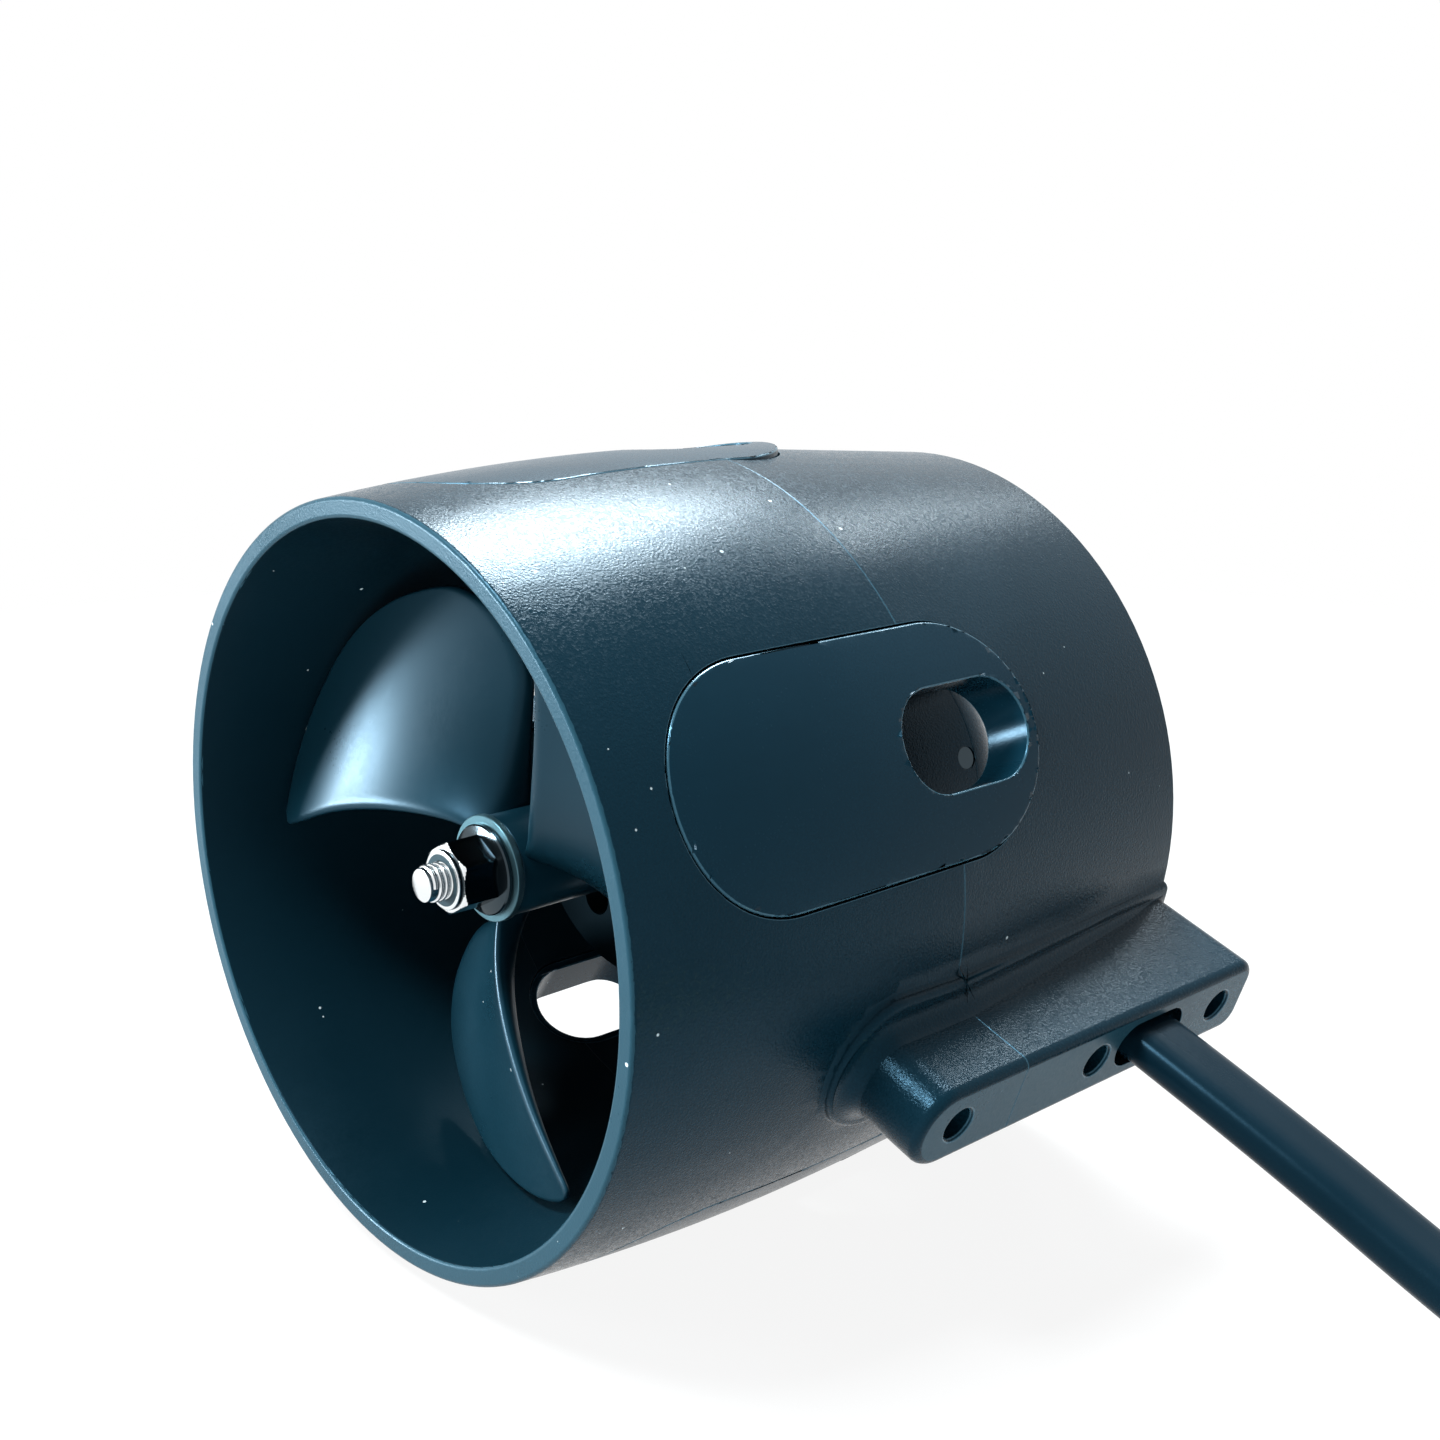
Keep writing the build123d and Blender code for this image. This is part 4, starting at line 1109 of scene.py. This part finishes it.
@dataclass
class ShaftEnd:
    """The threaded shaft end, the lock nut with its collar and insert, and the washer.

    Args:
        tip: the station of the shaft's threaded end, in millimetres.
        shaft_end: the station of its other end.
        radius: the shaft's radius.
        nut_start: the station where the nut's collar starts.
        collar_radius: the collar's radius.
        hex_start: the station where the hex starts.
        flange_start: the station where the flange starts.
        nut_end: the station where the nut meets the washer.
        across_flats: the hex's width.
        flange_radius: the flange's radius.
        washer_radius: the washer's radius.
        washer_end: the station of the washer's rear face.
        insert_radius: the dark insert's radius.
        thread_pitch: the thread's pitch.
        nut_steps: the steps round the nut.
    """

    tip: float = 7.2
    shaft_end: float = 87.4
    radius: float = 3.0
    nut_start: float = 10.9
    collar_radius: float = 4.6
    hex_start: float = 11.6
    flange_start: float = 17.6
    nut_end: float = 18.9
    across_flats: float = 10.0
    flange_radius: float = 7.1
    washer_radius: float = 8.35
    washer_end: float = 20.1
    insert_radius: float = 3.98
    thread_pitch: float = 1.0
    nut_steps: int = 144

    def shaft(self, shop: Workshop) -> None:
        """Builds the shaft with its chamfered tip and its thread.

        Args:
            shop: the workshop.
        """
        core = self.radius - 0.35
        profile = [
            (self.tip, 0.0), (self.tip, core - 0.35),
            (self.tip + 0.12, core - 0.12), (self.tip + 0.5, core),
            (self.nut_start + 1, core), (self.nut_start + 1.3, self.radius),
            (self.shaft_end - 0.5, self.radius), (self.shaft_end, self.radius - 0.5), (self.shaft_end, 0.0),
        ]
        rod = lathe("shaft_turned", shop.frame, profile, 64)
        shop.fit(rod, Body.ROTOR, "bright steel", "shaft")
        thread = run_tree(
            "shaft_thread",
            thread_tree(),
            {
                "Radius": (self.radius - 0.36) * MM,
                "Pitch": self.thread_pitch * MM,
                "Turns": (self.nut_start + 0.9 - self.tip - 0.9) / self.thread_pitch,
                "Crest": 0.36 * MM,
                "Start": shop.frame.place(self.tip + 0.85, 0, 0),
                "Finish": shop.materials["bright steel"],
            },
        )
        shop.fit(thread, Body.ROTOR, "bright steel")

    def nut_radius(self, station: float, angle: float) -> float:
        """Finds the hex's radius, with its chamfered corners.

        Args:
            station: the distance behind the front rim.
            angle: the turn about the shaft, in degrees.

        Returns:
            The radius, in millimetres.
        """
        flat = self.across_flats / 2
        around = (angle + 30) % 60 - 30
        hexagon = flat / math.cos(math.radians(around))
        reach = min(station - self.hex_start, self.flange_start - station + 0.4)
        chamfered = flat + 0.05 + max(0.0, reach) * 1.7
        return min(hexagon, chamfered)

    def nut(self, shop: Workshop) -> None:
        """Builds the nut, its hex turned into a flange and a collar, with bright steel rims as a painted
        highlight.

        Args:
            shop: the workshop.
        """
        steps = self.nut_steps
        stations = [self.hex_start + depth for depth in (0.02, 0.12, 0.25, 0.4)]
        stations += [self.flange_start - depth for depth in (0.3, 0.1, 0.0)]
        rows: list[list[Vector]] = []

        def turned(station: float, radius: float) -> None:
            """Adds a round row."""
            rows.append([shop.frame.place(station, 360 * k / steps, radius) for k in range(steps)])

        bore = self.radius + 0.03
        turned(self.nut_start + 1.7, bore)
        turned(self.nut_start + 1.7, self.insert_radius)
        turned(self.nut_start, self.insert_radius + 0.02)
        turned(self.nut_start, self.collar_radius - 0.25)
        turned(self.nut_start + 0.08, self.collar_radius - 0.07)
        turned(self.nut_start + 0.25, self.collar_radius)
        turned(self.hex_start, self.collar_radius + 0.05)
        angles = [360 * k / steps for k in range(steps)]
        for station in stations:
            rows.append([shop.frame.place(station, at, self.nut_radius(station, at)) for at in angles])
        turned(self.flange_start + 0.05, self.across_flats / 2 * 1.16)
        turned(self.flange_start + 0.35, self.flange_radius - 0.2)
        turned(self.flange_start + 0.6, self.flange_radius)
        turned(self.nut_end - 0.15, self.flange_radius)
        turned(self.nut_end, self.flange_radius - 0.15)
        turned(self.nut_end, bore)
        vertices = [point for row in rows for point in row]
        faces = []
        for row in range(len(rows)):
            near, far = row * steps, (row + 1) % len(rows) * steps
            for k in range(steps):
                faces.append((near + k, near + (k + 1) % steps, far + (k + 1) % steps, far + k))
        piece = mesh_object("lock_nut_turned", vertices, faces)
        keep_sharp(piece, 28)
        piece.data.materials.append(shop.materials["black oxide steel"])
        piece.data.materials.append(shop.materials["bright steel"])
        # The front faces of the collar's rim and of the hex's chamfer take bright steel: a painted
        # highlight.
        painted_highlight_rims = ((self.nut_start, self.nut_start + 0.2), (self.hex_start + 0.03, self.hex_start + 0.45))
        for face in piece.data.polygons:
            station = (face.center.y - shop.frame.hub.y) / MM
            if face.normal.y < -0.2 and any(low - 0.05 < station < high for low, high in painted_highlight_rims):
                face.material_index = 1
        shop.mount(piece, Body.ROTOR, "lock_nut")

    def washer(self, shop: Workshop) -> None:
        """Builds the washer with a small round on its rims.

        Args:
            shop: the workshop.
        """
        inner = self.radius + 0.03
        small = 0.15
        profile = [
            (self.nut_end, inner + small), (self.nut_end, self.washer_radius - small),
            (self.nut_end + small / 2, self.washer_radius - small / 3),
            (self.nut_end + small, self.washer_radius),
            (self.washer_end - small, self.washer_radius), (self.washer_end, self.washer_radius - small),
            (self.washer_end, inner + small), (self.washer_end - small, inner),
            (self.nut_end + small, inner),
        ]
        washer = lathe("prop_washer_turned", shop.frame, profile)
        shop.fit(washer, Body.ROTOR, "dull washer", "prop_washer")

    def build(self, shop: Workshop) -> None:
        """Builds the shaft end's pieces.

        Args:
            shop: the workshop.
        """
        self.shaft(shop)
        self.nut(shop)
        self.washer(shop)


@dataclass
class FlatCable:
    """The flat three-core cable, from the foot to the coil that is put away on the floor.

    Args:
        outlet_angle: the foot's direction, in degrees.
        outlet_station: the outlet's middle, in millimetres.
        outlet_radius: where the sheath starts, in millimetres from the shaft.
        exit_radius: the foot's face, in millimetres from the shaft.
        width: the sheath's width.
        thickness: the sheath's thickness.
        first_run: how far it leaves the foot straight.
        laid_points: the route between the outlet and the coil, as x and height in millimetres.
        coil_radius: the coil's mean radius.
        coil_reach: how far the coil's middle is from the shaft.
        coil_stub: how far before that middle the cable turns into the coil.
        coil_end_turn: how far the coil turns, in degrees.
        tie_angle: where the tie is, in degrees.
        coil_step: the turn between the coil's control points.
        climb: the turns between which the second layer climbs on the first.
        round_steps: the steps round each edge of the sheath.
        tie_wall: the tie's thickness.
        tie_half: half the tie's width.
        tie_steps: the steps round the tie.
        tie_square: how square the tie is, less being squarer.
    """

    outlet_angle: float = FOOT_ANGLE
    outlet_station: float = 90.4
    outlet_radius: float = 72.3
    exit_radius: float = 75.9
    width: float = 12.0
    thickness: float = 6.0
    first_run: float = 28.0
    laid_points: tuple[Point, ...] = ((117.0, 15.6), (142.5, 6.9), (163.5, 3.0))
    coil_radius: float = 62.0
    coil_reach: float = 229.0
    coil_stub: float = 41.0
    coil_end_turn: float = 585.0
    tie_angle: float = -60.0
    coil_step: float = 22.5
    climb: Point = (292.0, 332.0)
    round_steps: int = 8
    tie_wall: float = 0.9
    tie_half: float = 2.0
    tie_steps: int = 40
    tie_square: float = 0.4

    def route(self, frame: ShaftFrame) -> list[Vector]:
        """Lists the route's control points.

        Args:
            frame: where the shaft is.

        Returns:
            The points, in the row frame.
        """
        start = frame.place(self.outlet_station, self.outlet_angle, self.outlet_radius)
        turn = math.radians(self.outlet_angle)
        out = Vector((math.cos(turn), 0, math.sin(turn)))
        points = [start, start + out * self.first_run * MM]
        points += [Vector((x * MM, start.y, height * MM)) for x, height in self.laid_points]
        centre = Vector((frame.hub.x + self.coil_reach * MM, start.y - self.coil_radius * MM, 0))
        points.append(Vector((centre.x - self.coil_stub * MM, start.y, self.thickness / 2 * MM)))
        turn_so_far = 0.0
        while turn_so_far <= self.coil_end_turn + 1e-6:
            low, high = self.climb
            lift = min(1.0, max(0.0, (turn_so_far - low) / (high - low)))
            height = self.thickness * (0.5 + lift * lift * (3 - 2 * lift))
            angle = math.radians(90 - turn_so_far)
            reach = self.coil_radius / math.cos(math.radians(self.coil_step / 2)) * MM
            points.append(centre + Vector((math.cos(angle) * reach, math.sin(angle) * reach, height * MM)))
            turn_so_far += self.coil_step
        return points

    def centreline(self, frame: ShaftFrame) -> list[Vector]:
        """Reads the smooth line that the route's points control.

        Args:
            frame: where the shaft is.

        Returns:
            Its points, in the row frame.
        """
        points = self.route(frame)
        curve = bpy.data.curves.new("cable line", "CURVE")
        curve.dimensions = "3D"
        spline = curve.splines.new("NURBS")
        spline.points.add(len(points) - 1)
        for point, target in zip(spline.points, points):
            point.co = (*target, 1)
        spline.order_u = 3
        spline.use_endpoint_u = True
        spline.resolution_u = 10
        holder = bpy.data.objects.new("cable line", curve)
        bpy.context.scene.collection.objects.link(holder)
        graph = bpy.context.evaluated_depsgraph_get()
        line = bpy.data.meshes.new_from_object(holder.evaluated_get(graph))
        path = [vertex.co.copy() for vertex in line.vertices]
        bpy.data.objects.remove(holder)
        bpy.data.meshes.remove(line)
        bpy.data.curves.remove(curve)
        return path

    def section(self) -> list[Point]:
        """Lists the sheath's flat oval.

        Returns:
            Its points, as places across and over the line, in millimetres.
        """
        radius = self.thickness / 2
        flat = self.width / 2 - radius
        ring: list[Point] = []
        for side, first in ((1, -90), (-1, 90)):
            for step in range(self.round_steps + 1):
                turn = math.radians(first + 180 * step / self.round_steps)
                ring.append((side * flat + radius * math.cos(turn), radius * math.sin(turn)))
            ring += [(side * flat * share, side * radius) for share in (0.5, 0.0, -0.5)]
        return ring

    def build(self, shop: Workshop) -> None:
        """Args:
            shop: the workshop.
        """
        path = self.centreline(shop.frame)
        ring = self.section()
        vertices: list[Vector] = []
        for place, point in enumerate(path):
            ahead = path[min(place + 1, len(path) - 1)] - path[max(place - 1, 0)]
            ahead.normalize()
            side = ahead.cross(Vector((0, 0, 1))).normalized()
            over = side.cross(ahead).normalized()
            vertices += [point + (side * across + over * up) * MM for across, up in ring]
        count = len(ring)
        faces = [tuple(range(count)), tuple((len(path) - 1) * count + i for i in range(count))]
        faces += tube_faces(len(path), count)
        sheath = mesh_object("cable_sheath", vertices, faces)
        keep_sharp(sheath, 50)
        shop.fit(sheath, Body.HOUSING, "cable sheath", "cable", "cable_coil")
        tie = self.tie(shop)
        ends = ["cable_sleeve"]
        for letter in "abc":
            ends += [f"tail_lead_{letter}", f"bullet_plug_{letter}"]
        shop.frame.place(self.outlet_station, self.outlet_angle, self.exit_radius)

    def tie(self, shop: Workshop) -> bpy.types.Object:
        """Builds the strap that holds the coil's turns together.

        Args:
            shop: the workshop.

        Returns:
            The strap.
        """
        centre = shop.frame.place(self.outlet_station, self.outlet_angle, self.outlet_radius)
        turn = math.radians(self.tie_angle)
        outwards = Vector((math.cos(turn), math.sin(turn), 0))
        along = Vector((-math.sin(turn), math.cos(turn), 0))
        middle = Vector((shop.frame.hub.x + self.coil_reach * MM, centre.y - self.coil_radius * MM, 0))
        middle += outwards * self.coil_radius * MM + Vector((0, 0, self.thickness * MM))
        half_width, half_height = self.width / 2 + 0.5, self.thickness - 0.02
        vertices: list[Vector] = []
        steps = self.tie_steps

        def squared(share: float) -> float:
            """Pushes a circle's share towards a square."""
            return math.copysign(abs(share) ** self.tie_square, share)

        for side in (-1, 1):
            ring_middle = middle + along * side * self.tie_half * MM
            for grow in (0.0, self.tie_wall):
                for step in range(steps):
                    angle = 2 * math.pi * step / steps
                    across = squared(math.cos(angle)) * (half_width + grow)
                    lift = squared(math.sin(angle)) * half_height
                    lift += grow if lift > 0 else 0.0
                    vertices.append(ring_middle + outwards * across * MM + Vector((0, 0, lift * MM)))
        faces = []
        for step in range(steps):
            after = (step + 1) % steps
            starts = [ring * steps for ring in (0, 1, 3, 2)]
            for near, far in zip(starts, starts[1:] + starts[:1]):
                faces.append((near + step, near + after, far + after, far + step))
        strap = mesh_object("coil_tie", vertices, faces)
        keep_sharp(strap, 40)
        shop.fit(strap, Body.HOUSING, "potting rubber")
        return strap


@dataclass(frozen=True)
class Camera:
    """The photograph's camera.

    Args:
        offset: its place from the shaft's end of the axis, in millimetres.
        right: the picture's right.
        up: the picture's up.
        forward: the way it looks.
        lens: its focal length on a 36 mm sensor.
    """

    offset: tuple[float, float, float] = (222.13, -133.76, 90.63)
    right: tuple[float, float, float] = (0.6702, 0.7422, 0.0)
    up: tuple[float, float, float] = (-0.1812, 0.1637, 0.9697)
    forward: tuple[float, float, float] = (-0.7197, 0.6499, -0.2442)
    lens: float = 46.24

    def build(self, frame: ShaftFrame) -> None:
        """Places the camera.

        Args:
            frame: where the shaft is.
        """
        data = bpy.data.cameras.new("photo camera")
        data.lens = self.lens
        data.sensor_width = 36.0
        data.clip_start = 0.01
        data.clip_end = 20.0
        camera = bpy.data.objects.new("photo camera", data)
        bpy.context.scene.collection.objects.link(camera)
        axes = [Vector(axis).normalized() for axis in (self.right, self.up)]
        axes.append(-Vector(self.forward).normalized())
        turn = Matrix([axis[:] for axis in axes]).transposed().to_4x4()
        camera.matrix_world = Matrix.Translation(frame.hub + Vector(self.offset) * MM) @ turn
        bpy.context.scene.camera = camera


@dataclass(frozen=True)
class SoftLamp:
    """A rectangular studio lamp.

    Args:
        name: the lamp's name.
        place: where it stands, in metres.
        target: the point that it faces.
        size: its width and height.
        power: its power in watts.
        colour: its colour.
    """

    name: str
    place: tuple[float, float, float]
    target: tuple[float, float, float]
    size: tuple[float, float]
    power: float
    colour: tuple[float, float, float] = (0.9, 0.98, 1.0)

    def build(self) -> None:
        """Hangs the lamp."""
        data = bpy.data.lights.new(self.name, "AREA")
        data.shape = "RECTANGLE"
        data.size, data.size_y = self.size
        data.energy = self.power
        data.color = self.colour
        lamp = bpy.data.objects.new(self.name, data)
        bpy.context.scene.collection.objects.link(lamp)
        lamp.location = self.place
        aim = Vector(self.target) - Vector(self.place)
        lamp.rotation_euler = aim.to_track_quat("-Z", "Y").to_euler()


@dataclass
class Studio:
    """The white floor, the world and the lamps.

    Args:
        lamps: the lamps.
        world_level: the world's strength, for what isn't seen.
        floor_reach: half the floor's width.
        fade: the distances between which the floor turns white.
        floor_white: how white it is in the middle.
    """

    lamps: tuple[SoftLamp, ...] = (
        SoftLamp("behind and above", (-0.34, 0.42, 0.9), (-0.02, 0.0, 0.07), (0.36, 0.34), 26.0),
        SoftLamp("front left", (-0.78, -0.82, 0.14), (0.0, 0.0, 0.06), (0.3, 0.36), 24.0),
        SoftLamp("far behind", (-0.2, 0.78, 0.72), (0.05, 0.0, 0.05), (0.12, 0.12), 1.4),
        SoftLamp("front above", (-0.15, -0.5, 0.95), (0.0, 0.0, 0.06), (0.26, 0.26), 18.0),
    )
    world_level: float = 0.3
    floor_reach: float = 6.0
    fade: Point = (0.15, 0.6)
    floor_white: float = 0.9

    def world(self) -> None:
        """Sets a plain world that looks white to the camera, to gloss and through glass."""
        world = bpy.data.worlds.new("studio")
        bpy.context.scene.world = world
        world.use_nodes = True
        world.node_tree.nodes.clear()
        sheet = NodeSheet(world.node_tree)
        output = sheet.add("ShaderNodeOutputWorld")
        seen = sheet.add("ShaderNodeBackground")
        seen.inputs["Color"].default_value = (1, 1, 1, 1)
        felt = sheet.add("ShaderNodeBackground")
        felt.inputs["Color"].default_value = (0.9, 0.96, 1.0, 1)
        felt.inputs["Strength"].default_value = self.world_level
        sheet.join(seen.outputs[0], self.blend(sheet, felt, output))

    def blend(self, sheet: NodeSheet, dull: bpy.types.Node, output: bpy.types.Node) -> bpy.types.NodeSocket:
        """Mixes in what the camera, gloss and glass see.

        Args:
            sheet: the tree's helper.
            dull: the shader for every other ray.
            output: the tree's output.

        Returns:
            The socket for the white shader.
        """
        rays = sheet.add("ShaderNodeLightPath")
        seen = sheet.math("MAXIMUM", rays.outputs["Is Camera Ray"], rays.outputs["Is Transmission Ray"])
        seen = sheet.math("MAXIMUM", seen, rays.outputs["Is Glossy Ray"])
        mix = sheet.add("ShaderNodeMixShader")
        sheet.join(seen, mix.inputs[0])
        sheet.join(dull.outputs[0], mix.inputs[1])
        sheet.join(mix.outputs[0], output.inputs["Surface"])
        return mix.inputs[2]

    def floor(self) -> None:
        """Lays the pale floor, which keeps a little of the object's shadow."""
        mesh = bpy.data.meshes.new("floor")
        reach = self.floor_reach
        corners = [(-reach, -reach, 0), (reach, -reach, 0), (reach, reach, 0), (-reach, reach, 0)]
        mesh.from_pydata(corners, [], [(0, 1, 2, 3)])
        floor = bpy.data.objects.new("floor", mesh)
        bpy.context.scene.collection.objects.link(floor)
        material = bpy.data.materials.new("pale floor")
        material.use_nodes = True
        material.node_tree.nodes.clear()
        sheet = NodeSheet(material.node_tree)
        output = sheet.add("ShaderNodeOutputMaterial")
        dull = sheet.add("ShaderNodeBsdfDiffuse")
        dull.inputs["Color"].default_value = (0.8, 0.8, 0.8, 1)
        glow = sheet.add("ShaderNodeEmission")
        white = sheet.add("ShaderNodeMixShader")
        place = sheet.add("ShaderNodeTexCoord")
        distance = sheet.add("ShaderNodeVectorMath", operation="LENGTH")
        sheet.join(place.outputs["Object"], distance.inputs[0])
        share = sheet.band(distance.outputs["Value"], *self.fade, self.floor_white, 1.0)
        sheet.join(share, white.inputs[0])
        sheet.join(dull.outputs[0], white.inputs[1])
        sheet.join(glow.outputs[0], white.inputs[2])
        sheet.join(white.outputs[0], self.blend(sheet, dull, output))
        mesh.materials.append(material)

    def build(self) -> None:
        """Builds the studio."""
        bpy.context.scene.view_settings.view_transform = "Standard"
        self.world()
        self.floor()
        for lamp in self.lamps:
            lamp.build()


def main() -> None:
    """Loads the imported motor, dresses it and lights it."""
    logging.basicConfig(level=logging.INFO, format="%(name)s: %(message)s")
    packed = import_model()
    groups = {"grain": spark_grain_group(), "dust": dust_group()}
    materials = {finish.name: finish.build(groups) for finish in FINISHES}
    slots = {part["node"]: part["material_slot"] for part in packed["record"]["subparts"]}
    for finish, nodes in NODE_FINISH.items():
        for node in nodes:
            dress(packed["nodes"][node], materials[finish])
    shop = Workshop(ShaftFrame.from_nodes(), materials, slots)
    Camera().build(shop.frame)
    Studio().build()
    FlatCable().build(shop)
    for assembly in (DuctShells(), FootBlend(), Propeller(), ShaftEnd()):
        assembly.build(shop)


if __name__ == "__main__":
    main()
